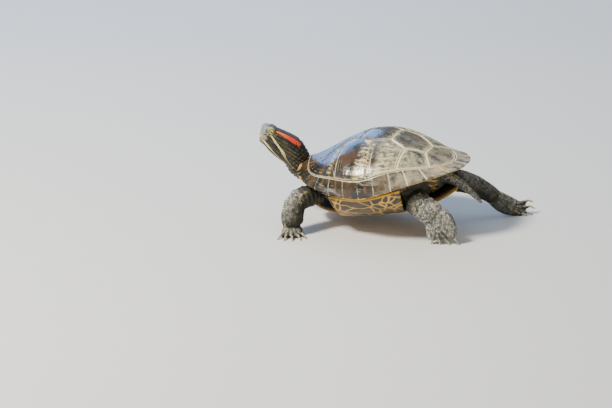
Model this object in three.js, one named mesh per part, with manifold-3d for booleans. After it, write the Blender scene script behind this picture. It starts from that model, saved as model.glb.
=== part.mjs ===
// Red-eared slider turtle, life size, standing with a raised head and one hind leg stretched back.
// Millimetres, +Z up, the head toward -X and the animal's left side toward -Y.
import * as THREE from 'three';
import { ParametricGeometry } from 'three/addons/geometries/ParametricGeometry.js';
import { mergeVertices } from 'three/addons/utils/BufferGeometryUtils.js';
import Module from 'manifold-3d';

// Carapace, in the shell's own frame: x to the rear, z up from the plane of the rim.
const shellFront = 95;
const shellRear = 101.5;
const shellHalfWidth = 78;
const shellSquareness = 2.2;
const shellSquarenessRear = 2;
const domeHeight = 52;
const domeFullness = 0.52;
const domeSlopeFront = 1.5;
const domeSlopeRear = 1.5;
const rimRiseFront = 19;
const rimRiseRear = 12.5;
const nuchalArch = 9;
const nuchalNotch = 9.5;
const nuchalNotchWidth = 15;
const plateThickness = 4.2;
const marginalWidthEnds = 0.155;
const marginalWidthSides = 0.05;
const marginalWidthHips = 0.05;
const seamGap = 0.22;
const outlineStep = 12;

// Seams of the carapace plates, from the front to the rear.
const vertebralSeamX = [-48, -12, 24, 59];
const vertebralSeamY = [20, 20.5, 20, 13];
const vertebralFlareX = [-30, 6, 41];
const vertebralFlareY = 26.5;
const costalSeamAngle = [169, 113, 84, 57, 28];
const nuchalAngle = 176.2;
const marginalSplit = [118, 64];

// Plastron and bridges.
const plastronDrop = 35;
const plastronFront = -86;
const plastronRear = 90;
const plastronWaist = 49;
const plastronThickness = 4.5;
const plastronRiseFront = 15;
const plastronRiseRear = 17;
const bridgeFrontX = -38;
const bridgeRearX = 42;
const bridgeThickness = 3.4;

// How the shell stands over the floor.
const shellHeight = 53.5;
const shellPitch = 9.5;

// Head frame: t runs back from the snout, n up, both turned by the pitch and the yaw.
const snoutPoint = new THREE.Vector3(-140, -19, 92.3);
const headPitch = 32.8;
const headYaw = 21;
const headLength = 41;
const snoutSlant = 0.336;
const mouthLevel = -1.6;
const mouthCorner = 13.6;
const eyeRadius = 4.3;
const eyeBack = 9.2;
const eyeUp = 11.3;
const eyeOut = 7.6;

// Flesh, feet and claws.
const partGap = 0.3;
const simplifyTolerance = 0.05;
const fleshInset = 1.6;
const trunkReach = 0.83;
const trunkReachEnds = 0.76;
const frontClawLength = 7;
const hindClawLength = 6;
const clawRadius = 1.25;

const deg = Math.PI / 180;
const wasm = await Module();
wasm.setup();

const shellMatrix = new THREE.Matrix4()
  .makeRotationY(-shellPitch * deg)
  .setPosition(0, 0, shellHeight);

function makeMaterial(name, color, roughness) {
  const material = new THREE.MeshStandardMaterial({ color, roughness, metalness: 0 });
  material.name = name;
  return material;
}

const materials = {
  carapace: makeMaterial('carapace', 0x3b3a2b, 0.4),
  marginal: makeMaterial('marginal', 0x4a4530, 0.42),
  plastron: makeMaterial('plastron', 0xb98a3a, 0.5),
  skin: makeMaterial('skin', 0x3a3a30, 0.55),
  claw: makeMaterial('claw', 0xb9ad8c, 0.45),
  eye: makeMaterial('eye', 0xb8b838, 0.15),
};

// Closes a geometry, drops flat triangles and turns it outward.
function finishGeometry(geometry) {
  const bare = new THREE.BufferGeometry();
  bare.setAttribute('position', geometry.getAttribute('position').clone());
  if (geometry.index) {
    bare.setIndex(geometry.index.clone());
  }
  const merged = mergeVertices(bare, 1e-3);
  const index = Array.from(merged.index.array);
  const p = merged.getAttribute('position');
  const a = new THREE.Vector3();
  const b = new THREE.Vector3();
  const c = new THREE.Vector3();
  const kept = [];
  let volume = 0;
  for (let i = 0; i < index.length; i += 3) {
    const [ia, ib, ic] = index.slice(i, i + 3);
    if (ia === ib || ib === ic || ia === ic) {
      continue;
    }
    a.fromBufferAttribute(p, ia);
    b.fromBufferAttribute(p, ib);
    c.fromBufferAttribute(p, ic);
    volume += a.dot(b.cross(c));
    kept.push(ia, ib, ic);
  }
  if (volume < 0) {
    for (let i = 0; i < kept.length; i += 3) {
      const swap = kept[i];
      kept[i] = kept[i + 1];
      kept[i + 1] = swap;
    }
  }
  merged.setIndex(kept);
  return merged;
}

// A closed body from a rows x columns table of points; end rows may be poles.
function rowsBody(columns, rows, pointAt) {
  const geometry = new ParametricGeometry((u, v, target) => {
    const column = Math.round(u * columns) % columns;
    target.copy(pointAt(column, Math.round(v * rows)));
  }, columns, rows);
  return finishGeometry(geometry);
}

function toSolid(geometry) {
  const position = geometry.getAttribute('position').array;
  const mesh = new wasm.Mesh({
    numProp: 3,
    vertProperties: new Float32Array(position),
    triVerts: new Uint32Array(geometry.index.array),
  });
  return new wasm.Manifold(mesh);
}

function largestPiece(solid) {
  const pieces = solid.decompose();
  pieces.sort((p, q) => q.volume() - p.volume());
  return pieces[0];
}

// The solid with a skin of about the part gap, as a cutter for its neighbours.
function inflated(solid) {
  const ways = [[1, 0, 0], [-1, 0, 0], [0, 1, 0], [0, -1, 0], [0, 0, 1], [0, 0, -1]];
  return ways.reduce((whole, way) => whole.add(solid.translate(way.map((k) => k * partGap))), solid);
}

// The same for a round body, by scaling it about the middle of its box.
function swollen(solid) {
  const { min, max } = solid.boundingBox();
  const middle = min.map((low, k) => (low + max[k]) / 2);
  const scale = min.map((low, k) => 1 + 2.4 * partGap / (max[k] - low));
  return solid.translate(middle.map((m) => -m)).scale(scale).translate(middle);
}

function toGeometry(solid) {
  const mesh = largestPiece(largestPiece(solid).simplify(simplifyTolerance)).getMesh();
  const geometry = new THREE.BufferGeometry();
  geometry.setAttribute('position', new THREE.BufferAttribute(new Float32Array(mesh.vertProperties), 3));
  geometry.setIndex(Array.from(mesh.triVerts));
  return geometry;
}

// Puts a mesh in a group, its own origin at the middle of its box.
function addMesh(parent, name, geometry, material) {
  geometry.computeBoundingBox();
  const center = geometry.boundingBox.getCenter(new THREE.Vector3());
  geometry.translate(-center.x, -center.y, -center.z);
  geometry.computeVertexNormals();
  const mesh = new THREE.Mesh(geometry, material.clone());
  mesh.name = name;
  mesh.position.copy(center);
  parent.add(mesh);
  return mesh;
}

function smooth(t) {
  const k = Math.min(1, Math.max(0, t));
  return k * k * (3 - 2 * k);
}

// ---- Carapace surface ----

function ovalRadius(angle) {
  const c = Math.cos(angle);
  const s = Math.sin(angle);
  const along = c > 0 ? shellRear : shellFront;
  const across = shellHalfWidth * (1 + 0.03 * c);
  const n = c > 0 ? shellSquarenessRear : shellSquareness;
  return (Math.abs(c / along) ** n + Math.abs(s / across) ** n) ** (-1 / n);
}

function rimRadius(angle) {
  const radius = ovalRadius(angle);
  if (Math.cos(angle) > 0) {
    return radius;
  }
  return radius - nuchalNotch * Math.exp(-((radius * Math.sin(angle) / nuchalNotchWidth) ** 2));
}

function rimHeight(angle) {
  const c = Math.cos(angle);
  if (c > 0) {
    return rimRiseRear * c ** 1.25 * (1 - 0.3 * c ** 6);
  }
  const y = rimRadius(angle) * Math.sin(angle);
  return rimRiseFront * Math.abs(c) ** 2.4 + nuchalArch * Math.exp(-((y / 17) ** 2)) * smooth(-c * 2);
}

function domeLevel(rho, angle) {
  const c = Math.cos(angle);
  const power = domeFullness + (c > 0 ? domeSlopeRear * c ** 3 : domeSlopeFront * c ** 4);
  const rim = rimHeight(angle);
  return rim + (domeHeight - rim) * Math.max(0, 1 - rho * rho) ** power;
}

function domePoint(rho, angle) {
  const radius = rimRadius(angle) * rho;
  return new THREE.Vector3(radius * Math.cos(angle), radius * Math.sin(angle), domeLevel(rho, angle));
}

function domeSurface(x, y) {
  const angle = Math.atan2(y, x);
  const rho = Math.min(0.9995, Math.hypot(x, y) / rimRadius(angle));
  return new THREE.Vector3(x, y, domeLevel(rho, angle));
}

function seamRadius(angle) {
  const c = Math.cos(angle);
  const hips = c > 0 ? marginalWidthHips * Math.sin(2 * angle) ** 2 : 0;
  return ovalRadius(angle) * (1 - marginalWidthSides - (marginalWidthEnds - marginalWidthSides) * c * c - hips);
}

function normalOf(surface, u, v, step) {
  const du = surface(u + step[0], v).sub(surface(u - step[0], v));
  const dv = surface(u, v + step[1]).sub(surface(u, v - step[1]));
  return du.cross(dv).normalize();
}

// ---- Plates: an outline on a surface, thickened inward ----

function subdivide(corners) {
  const points = [];
  corners.forEach((from, i) => {
    const to = corners[(i + 1) % corners.length];
    const count = Math.max(1, Math.round(Math.hypot(to[0] - from[0], to[1] - from[1]) / outlineStep));
    for (let k = 0; k < count; k += 1) {
      points.push([from[0] + (to[0] - from[0]) * k / count, from[1] + (to[1] - from[1]) * k / count]);
    }
  });
  return points;
}

function plateBody(outline, surface, options) {
  const { thickness, step = [0.2, 0.2], side = 1, gap = seamGap } = options;
  const rings = options.rings ?? [0, 0.58, 1];
  const middle = [0, 1].map((k) => outline.reduce((sum, p) => sum + p[k], 0) / outline.length);
  const rows = [...rings.map((r) => [r, 0]), [1, -thickness], [0.5, -thickness], [0, -thickness]];
  const table = rows.map(([ring, depth]) => outline.map((p) => {
    const reach = Math.hypot(p[0] - middle[0], p[1] - middle[1]);
    const scale = ring * (1 - gap * (options.unit ?? 1) / reach);
    const u = middle[0] + (p[0] - middle[0]) * scale;
    const v = middle[1] + (p[1] - middle[1]) * scale;
    return surface(u, v).addScaledVector(normalOf(surface, u, v, step), side * depth);
  }));
  return rowsBody(outline.length, rows.length - 1, (column, row) => table[row][column]);
}

function seamPoint(degrees) {
  const radius = seamRadius(degrees * deg);
  return [radius * Math.cos(degrees * deg), radius * Math.sin(degrees * deg)];
}

function seamArc(from, to, inclusive) {
  const count = Math.max(2, Math.round(Math.abs(to - from) / 7));
  const points = [];
  for (let k = 0; k < count + (inclusive ? 1 : 0); k += 1) {
    points.push(seamPoint(from + (to - from) * k / count));
  }
  return points;
}

function mirrored(points) {
  return points.map(([x, y]) => [x, -y]);
}

// Half outlines of the vertebral plates, on the side of +y.
function vertebralHalf(i) {
  const [x0, x1] = [vertebralSeamX[i - 1], vertebralSeamX[i]];
  const [y0, y1] = [vertebralSeamY[i - 1], vertebralSeamY[i]];
  if (i === 0) {
    return [...seamArc(180, costalSeamAngle[0], false), seamPoint(costalSeamAngle[0]), [x1, y1], [x1, 0]];
  }
  if (i === 4) {
    return [[x0, 0], [x0, y0], seamPoint(costalSeamAngle[4]), ...seamArc(costalSeamAngle[4], 0, true).slice(1)];
  }
  return [[x0, 0], [x0, y0], [vertebralFlareX[i - 1], vertebralFlareY], [x1, y1], [x1, 0]];
}

function vertebralOutline(i) {
  const half = vertebralHalf(i);
  const other = mirrored(half.slice(1, -1)).reverse();
  return subdivide([...half, ...other]);
}

function costalOutline(i) {
  const [a0, a1] = [costalSeamAngle[i], costalSeamAngle[i + 1]];
  const inner = [];
  if (i > 0) {
    inner.push([vertebralFlareX[i - 1], vertebralFlareY]);
  }
  inner.push([vertebralSeamX[i], vertebralSeamY[i]]);
  if (i < 3) {
    inner.push([vertebralFlareX[i], vertebralFlareY]);
  }
  return subdivide([...inner, ...seamArc(a1, a0, true)]);
}

// ---- Marginals: a band along the rim ----

function marginalSection(angle) {
  const c = Math.abs(Math.cos(angle));
  const seam = (seamRadius(angle) + 0.3) / rimRadius(angle);
  const top = domePoint(seam, angle);
  const low = rimHeight(angle);
  const radius = rimRadius(angle);
  const out = [Math.cos(angle), Math.sin(angle)];
  const at = (rho, z) => new THREE.Vector3(radius * rho * out[0], radius * rho * out[1], z);
  const slope = (domeLevel(seam + 0.01, angle) - domeLevel(seam - 0.01, angle)) / (0.02 * radius);
  const normal = new THREE.Vector3(-slope * out[0], -slope * out[1], 1).normalize();
  const underside = Math.min(low - 6.5 + 5 * c, (low - 5.5 + 3 * c + top.z - plateThickness) / 2);
  return [
    top.clone(),
    domePoint((seam * 0.6 + 0.4), angle),
    domePoint((seam * 0.2 + 0.8), angle),
    at(1, low - 0.5),
    at(0.985, low - 5.5 + 3 * c),
    at(Math.max(0.93 - 0.03 * c, seam + 0.02), underside),
    top.clone().addScaledVector(normal, -plateThickness),
  ];
}

function marginalBand(fromDegrees, toDegrees, segments) {
  const inset = 0.12;
  const from = fromDegrees + Math.sign(toDegrees - fromDegrees) * inset;
  const to = toDegrees - Math.sign(toDegrees - fromDegrees) * inset;
  const table = [];
  for (let k = 0; k <= segments; k += 1) {
    table.push(marginalSection((from + (to - from) * k / segments) * deg));
  }
  const count = table[0].length;
  const middle = (loop) => loop.reduce((sum, p) => sum.add(p), new THREE.Vector3()).divideScalar(count);
  const first = Array(count).fill(middle(table[0]));
  const last = Array(count).fill(middle(table[segments]));
  const rows = [first, ...table, last];
  return rowsBody(count, rows.length - 1, (column, row) => rows[row][column]);
}

// ---- Plastron ----

function plastronLevel(x, y) {
  const front = Math.max(0, (-22 - x) / 64) ** 1.6 * plastronRiseFront;
  const rear = Math.max(0, (x - 30) / 60) ** 1.7 * plastronRiseRear;
  const sides = 3.5 * smooth((Math.abs(y) - 22) / 30);
  return -plastronDrop + front + rear + sides;
}

function plastronSurface(x, y) {
  return new THREE.Vector3(x, y, plastronLevel(x, y));
}

function plastronOutline(part) {
  const half = part === 'front'
    ? [[plastronFront + 2, 0], [plastronFront, 11], [plastronFront + 9, 25], [-62, 35], [-44, 40],
      [bridgeFrontX, plastronWaist], [-1, plastronWaist + 0.5], [-1, 0]]
    : [[-1, 0], [-1, plastronWaist + 0.5], [bridgeRearX, plastronWaist - 3], [49, 39], [68, 38],
      [82, 28], [plastronRear, 12], [plastronRear - 6, 0]];
  const other = mirrored(half.slice(1, -1)).reverse();
  return subdivide([...half, ...other]);
}

function bridgeSurface(side) {
  return (x, s) => {
    const rim = Math.atan2(shellHalfWidth, x);
    const topY = rimRadius(rim) * Math.sin(rim) * 0.935;
    const topZ = rimHeight(rim) - 7.4 + 4.5 * Math.abs(Math.cos(rim));
    const lowY = plastronWaist + 0.8 - 1.6 * smooth((x - 10) / 30);
    const lowZ = plastronLevel(x, lowY) + 0.4;
    const belly = Math.sin(Math.PI * s) * 2.2;
    const y = lowY + (topY - lowY) * s + belly * 0.7;
    return new THREE.Vector3(x, side * y, lowZ + (topZ - lowZ) * Math.max(0, s) ** 1.25 - belly * 0.4);
  };
}

function bridgeOutline() {
  const points = [];
  const count = 7;
  for (let k = 0; k <= count; k += 1) {
    points.push([bridgeFrontX + 2 + (bridgeRearX - bridgeFrontX - 4) * k / count, 0]);
  }
  points.push([bridgeRearX + 1, 0.5]);
  for (let k = count; k >= 0; k -= 1) {
    points.push([bridgeFrontX - 4 + (bridgeRearX - bridgeFrontX + 6) * k / count, 1]);
  }
  points.push([bridgeFrontX - 1, 0.5]);
  return points;
}

function bridgeBody(side) {
  const middle = (bridgeFrontX + bridgeRearX) / 2;
  const flat = bridgeOutline().map(([x, s]) => [(x - middle) / 40, s * 2 - 1]);
  const surface = bridgeSurface(side);
  const scaled = (u, v) => surface(middle + u * 40, (v + 1) / 2);
  return plateBody(flat, scaled, {
    thickness: bridgeThickness, step: [0.01, 0.01], side: -side, unit: 0.03, gap: 0.3,
  });
}

// ---- Flesh ----

function trunkBody() {
  const columns = 26;
  const rows = [
    [0, 1], [0.48, 1], [0.82, 1], [1, 0.86], [1, 0.4], [0.93, 0.06], [0.7, 0], [0, 0],
  ];
  return rowsBody(columns, rows.length - 1, (column, row) => {
    const angle = column / columns * Math.PI * 2 + 0.0001;
    const reachRho = trunkReach + (trunkReachEnds - trunkReach) * Math.cos(angle) ** 2;
    const rho = rows[row][0] * reachRho;
    const up = rows[row][1];
    const reach = rimRadius(angle) * rho;
    const x = reach * Math.cos(angle);
    const y = reach * Math.sin(angle);
    const top = domeLevel(Math.min(0.97, rho * 1.09), angle) - plateThickness - fleshInset;
    const side = Math.abs(Math.sin(angle)) ** 3;
    const slope = smooth((rho - 0.5) / 0.34) * 23 * side;
    const low = plastronLevel(x, y * 0.8) + plastronThickness + fleshInset + 3.2 + slope;
    const z = low + (Math.max(low + 2, top) - low) * up;
    return new THREE.Vector3(x, y, z);
  }).applyMatrix4(shellMatrix);
}

// A tapering body along a curve: sections give half width along `side` and half height.
function loftBody(points, sections, options) {
  const { columns = 14, rows = 12, side, floor = null, caps = [0.1, 0.1] } = options;
  const curve = new THREE.CatmullRomCurve3(points.map((p) => new THREE.Vector3(...p)), false, 'catmullrom', 0.5);
  const sizes = new THREE.CatmullRomCurve3(sections.map((s) => new THREE.Vector3(s[0], s[1], 0)), false,
    'catmullrom', 0.5);
  const sideHint = new THREE.Vector3(...side);
  return rowsBody(columns, rows, (column, row) => {
    const raw = row / rows;
    const v = (1 - Math.cos(raw * Math.PI)) / 2 * 0.35 + raw * 0.65;
    const center = curve.getPoint(v);
    const tangent = curve.getTangent(Math.min(0.999, Math.max(0.001, v)));
    const across = sideHint.clone().addScaledVector(tangent, -sideHint.dot(tangent)).normalize();
    const up = tangent.clone().cross(across);
    const size = sizes.getPoint(v);
    const near = Math.min(1, v / caps[0]);
    const far = Math.min(1, (1 - v) / caps[1]);
    const round = Math.sqrt(Math.max(0, 1 - (1 - near) ** 2)) * Math.sqrt(Math.max(0, 1 - (1 - far) ** 2));
    const angle = column / columns * Math.PI * 2;
    const point = center.addScaledVector(across, size.x * round * Math.cos(angle));
    point.addScaledVector(up, size.y * round * Math.sin(angle));
    if (floor !== null) {
      point.z = Math.max(point.z, floor);
    }
    return point;
  });
}

// ---- Head ----

function headMatrix() {
  const back = new THREE.Vector3(
    Math.cos(headYaw * deg) * Math.cos(headPitch * deg),
    Math.sin(headYaw * deg) * Math.cos(headPitch * deg),
    -Math.sin(headPitch * deg),
  );
  const lateral = new THREE.Vector3(-Math.sin(headYaw * deg), Math.cos(headYaw * deg), 0);
  const up = back.clone().cross(lateral);
  return new THREE.Matrix4().makeBasis(back, lateral, up).setPosition(snoutPoint);
}

// Columns: distance back, crown, chin, half width, scale of the section.
const headSections = [
  [-0.6, 11.7, -6.5, 5.5, 0], [-0.3, 12.3, -7.2, 5.6, 0.5], [0.6, 13.1, -7.8, 6.6, 0.86], [3.2, 14.4, -8.4, 8.6, 1],
  [8, 15.8, -8.4, 10.9, 1], [13.5, 16.5, -9.6, 12, 1], [20, 17.8, -11.5, 13.3, 1], [28, 19, -12.9, 14.6, 1],
  [36, 19.8, -13.6, 14.8, 1], [44, 19.8, -13.9, 14.6, 1], [50, 17, -12, 12.5, 1], [52, 4, 1, 2, 0],
];

function headBody() {
  const columns = 18;
  return rowsBody(columns, headSections.length - 1, (column, row) => {
    const [t, top, bottom, width, scale] = headSections[row];
    const angle = column / columns * Math.PI * 2;
    const ca = Math.cos(angle);
    const sa = Math.sin(angle);
    const middle = (top + bottom) / 2 + 1.4;
    const rise = sa > 0 ? (top - middle) * Math.abs(sa) ** 0.82 : -(middle - bottom) * Math.abs(sa) ** 0.95;
    const n = middle + rise * scale;
    const y = width * scale * Math.sign(ca) * Math.abs(ca) ** 0.85 * (sa < 0 ? 1 - 0.12 * Math.abs(sa) : 1);
    const slant = snoutSlant * (n - 2) * Math.max(0, 1 - t / 22);
    return new THREE.Vector3(t - slant, y, n);
  });
}

function boxSolid(from, to) {
  const box = new THREE.BoxGeometry(to[0] - from[0], to[1] - from[1], to[2] - from[2]);
  box.translate((to[0] + from[0]) / 2, (to[1] + from[1]) / 2, (to[2] + from[2]) / 2);
  return toSolid(finishGeometry(box));
}

function eyeBody(side, radius) {
  const ball = new THREE.SphereGeometry(radius, 10, 7);
  ball.rotateX(Math.PI / 2);
  ball.scale(1.08, 0.92, 1);
  ball.translate(eyeBack, side * eyeOut, eyeUp);
  return finishGeometry(ball);
}

function toHead(x, y, z) {
  return new THREE.Vector3(x, y, z).applyMatrix4(headMatrix()).toArray();
}

function neckBody() {
  const points = [toHead(33, 0, 3), toHead(44, 0, 2.6), [-97.5, -2, 55], [-88, -1, 45.5], [-64, 0, 37]];
  const sections = [[13.4, 15.4], [14.2, 16.2], [15, 14.6], [13.6, 10.4], [12, 10]];
  return loftBody(points, sections, { side: [0, 1, 0], columns: 16, rows: 8, caps: [0.12, 0.1] });
}

// ---- Limbs ----
// Each limb is a chain of sections; its foot spreads along `spread` and carries clawed toes.

const limbs = {
  front_left: {
    leg: [[-58, -34, 37], [-69, -50, 37], [-77.5, -66, 33], [-78.5, -75.5, 20], [-77, -76.5, 7]],
    size: [[13, 13], [12.8, 12.6], [12.8, 12.2], [13, 10.4], [12.8, 9.6]],
    legSide: [1, 0.2, 0],
    foot: [[-79, -70, 5], [-78, -76, 4.8], [-75.5, -85, 3.8], [-73, -93, 2.6]],
    footSize: [[10, 6], [11.6, 6.2], [12.4, 4.6], [10.6, 3]],
    footSide: [0.95, -0.3, 0],
    toeRoot: [-77, -83, 3.4],
    toeAim: [0.42, -0.9, -0.04],
    toeFan: [-38, -19, 0, 19, 38],
    toeReach: [12.5, 14.5, 15.5, 15, 12.5],
    toeRadius: 2.7,
    claw: frontClawLength,
    split: { at: [-79.5, -76, 11], normal: [0.02, 0.1, 1] },
  },
  hind_left: {
    leg: [[42, -26, 44], [53, -40, 43], [61, -49, 40.5], [72, -50.5, 35], [80, -49.5, 29]],
    size: [[13, 13], [14.4, 14.2], [14.4, 13.2], [14.4, 10.8], [14.5, 8]],
    legSide: [0.83, 0.3, 0.47],
    foot: [[77, -49.5, 36], [83, -50, 26], [87, -51, 13.5], [90, -52, 4]],
    footSize: [[13, 7.5], [16.5, 6], [18, 4.6], [15.5, 3]],
    footSide: [0.83, 0.3, 0.47],
    toeRoot: [83.5, -50.8, 16],
    toeAim: [0.34, -0.12, -0.86],
    toeFan: [-31, -11, 10, 32],
    toeReach: [16.5, 19, 19.5, 19.5],
    toeRadius: 2.8,
    claw: hindClawLength,
    split: { at: [80, -50, 29.5], normal: [-0.4, 0.1, 0.9] },
  },
  hind_right: {
    leg: [[46, 24, 46], [64, 38, 45], [84, 52, 38.5], [101, 62, 27.5], [113, 67, 18]],
    size: [[13, 13], [13.6, 14], [12.4, 13.4], [10.6, 10.6], [10, 8]],
    legSide: [-0.1, 0.45, 0.88],
    foot: [[104, 63, 24.5], [117, 69, 14.4], [131, 74.5, 7.6], [144, 79.5, 4]],
    footSize: [[10, 7.6], [11.8, 5.8], [10.6, 4.4], [6.4, 2.8]],
    footSide: [-0.1, 0.45, 0.88],
    toeRoot: [129, 74, 8.6],
    toeAim: [0.89, 0.36, -0.2],
    toeFan: [-26, -9, 9, 26],
    toeReach: [15, 18.5, 19, 17],
    toeRadius: 2.6,
    claw: hindClawLength,
    split: { at: [110, 66, 20], normal: [-0.87, -0.36, 0.35] },
  },
};

// The right front limb mirrors the left one, a little further forward.
function mirroredLimb(limb, shift) {
  const flip = (p) => [p[0] + shift, -p[1], p[2]];
  const turn = (p) => [p[0], -p[1], p[2]];
  return {
    ...limb,
    leg: limb.leg.map(flip),
    legSide: turn(limb.legSide),
    foot: limb.foot.map(flip),
    footSide: turn(limb.footSide),
    toeRoot: flip(limb.toeRoot),
    toeAim: turn(limb.toeAim),
    split: { at: flip(limb.split.at), normal: turn(limb.split.normal) },
  };
}

limbs.front_right = mirroredLimb(limbs.front_left, -3);

// Root, tip and direction of every toe of a limb.
function toesOf(limb) {
  const aim = new THREE.Vector3(...limb.toeAim).normalize();
  const side = new THREE.Vector3(...limb.footSide);
  side.addScaledVector(aim, -side.dot(aim)).normalize();
  const root = new THREE.Vector3(...limb.toeRoot);
  return limb.toeFan.map((fan, i) => {
    const way = aim.clone().multiplyScalar(Math.cos(fan * deg)).addScaledVector(side, Math.sin(fan * deg));
    const start = root.clone().addScaledVector(side, Math.sin(fan * deg) * 7);
    const tip = start.clone().addScaledVector(way, limb.toeReach[i]);
    tip.z = Math.max(tip.z, limb.toeRadius * 0.8);
    return { start, tip, way };
  });
}

function toeBody(toe, limb) {
  const middle = toe.start.clone().lerp(toe.tip, 0.6);
  const points = [toe.start.toArray(), middle.toArray(), toe.tip.toArray()];
  const r = limb.toeRadius;
  return loftBody(points, [[r * 1.1, r * 1.1], [r, r * 1.05], [r * 0.8, r * 0.85]], {
    side: limb.footSide, columns: 6, rows: 4, caps: [0.3, 0.3], floor: 0,
  });
}

function clawBody(toe, limb) {
  const low = toe.tip.z < 6;
  const way = toe.way.clone();
  way.z = Math.min(way.z, 0) - 0.25;
  way.normalize();
  const base = toe.tip.clone().addScaledVector(toe.way, partGap);
  const mid = base.clone().addScaledVector(way, limb.claw * 0.5);
  const tip = base.clone().addScaledVector(way, limb.claw);
  mid.z = low ? Math.max(mid.z, 1.4) : mid.z + 0.5;
  tip.z = low ? 0.1 : tip.z - 0.5;
  const r = clawRadius;
  return loftBody([base.toArray(), mid.toArray(), tip.toArray()], [[r, r * 1.15], [r * 0.85, r], [0.3, 0.35]], {
    side: limb.footSide, columns: 6, rows: 4, caps: [0.12, 0.12], floor: 0,
  });
}

function limbSolid(limb) {
  const leg = toSolid(loftBody(limb.leg, limb.size, {
    side: limb.legSide, columns: 12, rows: 9, caps: [0.1, 0.12], floor: 0,
  }));
  const foot = toSolid(loftBody(limb.foot, limb.footSize, {
    side: limb.footSide, columns: 10, rows: 6, caps: [0.2, 0.16], floor: 0,
  }));
  return toesOf(limb).reduce((whole, toe) => whole.add(toSolid(toeBody(toe, limb))), leg.add(foot));
}

function tailBody() {
  const points = [[66, 0, 62], [84, -1, 57.5], [97, -2.5, 51.5], [109, -4, 43.5], [119.5, -5, 35]];
  const sections = [[8.4, 8], [6.8, 6.4], [5, 4.6], [3.4, 3.2], [1.9, 1.8]];
  return loftBody(points, sections, { side: [0, 1, 0], columns: 9, rows: 8, caps: [0.08, 0.08] });
}

// ---- Assembly ----

function addCarapace(parent, cutters) {
  const group = new THREE.Group();
  group.name = 'carapace';
  parent.add(group);
  for (let i = 0; i < 5; i += 1) {
    const body = plateBody(vertebralOutline(i), domeSurface, { thickness: plateThickness });
    addMesh(group, `vertebral_${i + 1}`, body.applyMatrix4(shellMatrix), materials.carapace);
  }
  for (let i = 0; i < 4; i += 1) {
    const right = costalOutline(i);
    for (const [name, outline] of [['right', right], ['left', mirrored(right).reverse()]]) {
      const body = plateBody(outline, domeSurface, { thickness: plateThickness });
      addMesh(group, `costal_${name}_${i + 1}`, body.applyMatrix4(shellMatrix), materials.carapace);
    }
  }
  const nuchal = marginalBand(nuchalAngle, 360 - nuchalAngle, 3).applyMatrix4(shellMatrix);
  cutters.push(inflated(toSolid(nuchal)));
  addMesh(group, 'nuchal', nuchal, materials.marginal);
  const splits = [nuchalAngle, ...marginalSplit, 0];
  for (const [name, sign] of [['right', 1], ['left', -1]]) {
    for (let i = 0; i < 3; i += 1) {
      const band = marginalBand(sign * splits[i], sign * splits[i + 1], i === 1 ? 8 : 10);
      band.applyMatrix4(shellMatrix);
      cutters.push(inflated(toSolid(band)));
      const label = ['front', 'bridge', 'rear'][i];
      addMesh(group, `marginals_${name}_${label}`, band, materials.marginal);
    }
  }
}

function plastronBody(part) {
  return plateBody(plastronOutline(part), plastronSurface, {
    thickness: plastronThickness, side: -1, rings: [0, 0.45, 0.8, 1],
  });
}

function addPlastron(parent, cutters) {
  const group = new THREE.Group();
  group.name = 'plastron';
  parent.add(group);
  for (const part of ['front', 'rear']) {
    const body = plastronBody(part).applyMatrix4(shellMatrix);
    cutters.push(inflated(toSolid(body)));
    addMesh(group, `plastron_${part}_lobe`, body, materials.plastron);
  }
  for (const [name, side] of [['right', 1], ['left', -1]]) {
    const body = bridgeBody(side).applyMatrix4(shellMatrix);
    cutters.push(inflated(toSolid(body)));
    addMesh(group, `bridge_${name}`, body, materials.plastron);
  }
}

function cutAll(solid, cutters) {
  return cutters.reduce((left, cutter) => left.subtract(cutter), solid);
}

function splitAt(solid, point, normal) {
  const way = new THREE.Vector3(...normal).normalize();
  const offset = way.dot(new THREE.Vector3(...point));
  const above = solid.trimByPlane(way.toArray(), offset + partGap / 2);
  const below = solid.trimByPlane(way.clone().negate().toArray(), -offset + partGap / 2);
  return [above, below];
}

function addHead(parent, cutters) {
  const group = new THREE.Group();
  group.name = 'head_and_neck';
  parent.add(group);
  const matrix = headMatrix();
  const skull = toSolid(headBody());
  const sockets = [1, -1].map((side) => toSolid(eyeBody(side, eyeRadius + partGap)));
  const open = cutAll(skull, sockets);
  const low = [mouthCorner, 40, mouthLevel];
  const upper = open.subtract(boxSolid([-20, -40, -40], low));
  const jaw = open.intersect(boxSolid([-20, -40, -40], [low[0] - partGap, low[1], low[2] - partGap]));
  const upperWorld = toSolid(toGeometry(upper).applyMatrix4(matrix));
  const back = new THREE.Vector3().setFromMatrixColumn(matrix, 0);
  const [, head] = splitAt(upperWorld, toHead(headLength, 0, 0), back.toArray());
  const [neck] = splitAt(cutAll(toSolid(neckBody()), cutters), toHead(headLength, 0, 0), back.toArray());
  addMesh(group, 'head', toGeometry(head), materials.skin);
  addMesh(group, 'lower_jaw', toGeometry(jaw).applyMatrix4(matrix), materials.skin);
  addMesh(group, 'neck', toGeometry(neck), materials.skin);
  for (const [name, side] of [['right', 1], ['left', -1]]) {
    addMesh(group, `eye_${name}`, eyeBody(side, eyeRadius).applyMatrix4(matrix), materials.eye);
  }
}

function addLimb(parent, name, cutters) {
  const group = new THREE.Group();
  group.name = `${name}_limb`;
  parent.add(group);
  const limb = limbs[name];
  const whole = cutAll(limbSolid(limb), cutters);
  const [leg, foot] = splitAt(whole, limb.split.at, limb.split.normal);
  addMesh(group, `${name}_leg`, toGeometry(leg), materials.skin);
  addMesh(group, `${name}_foot`, toGeometry(foot), materials.skin);
  toesOf(limb).forEach((toe, i) => {
    addMesh(group, `${name}_claw_${i + 1}`, clawBody(toe, limb), materials.claw);
  });
}

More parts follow.
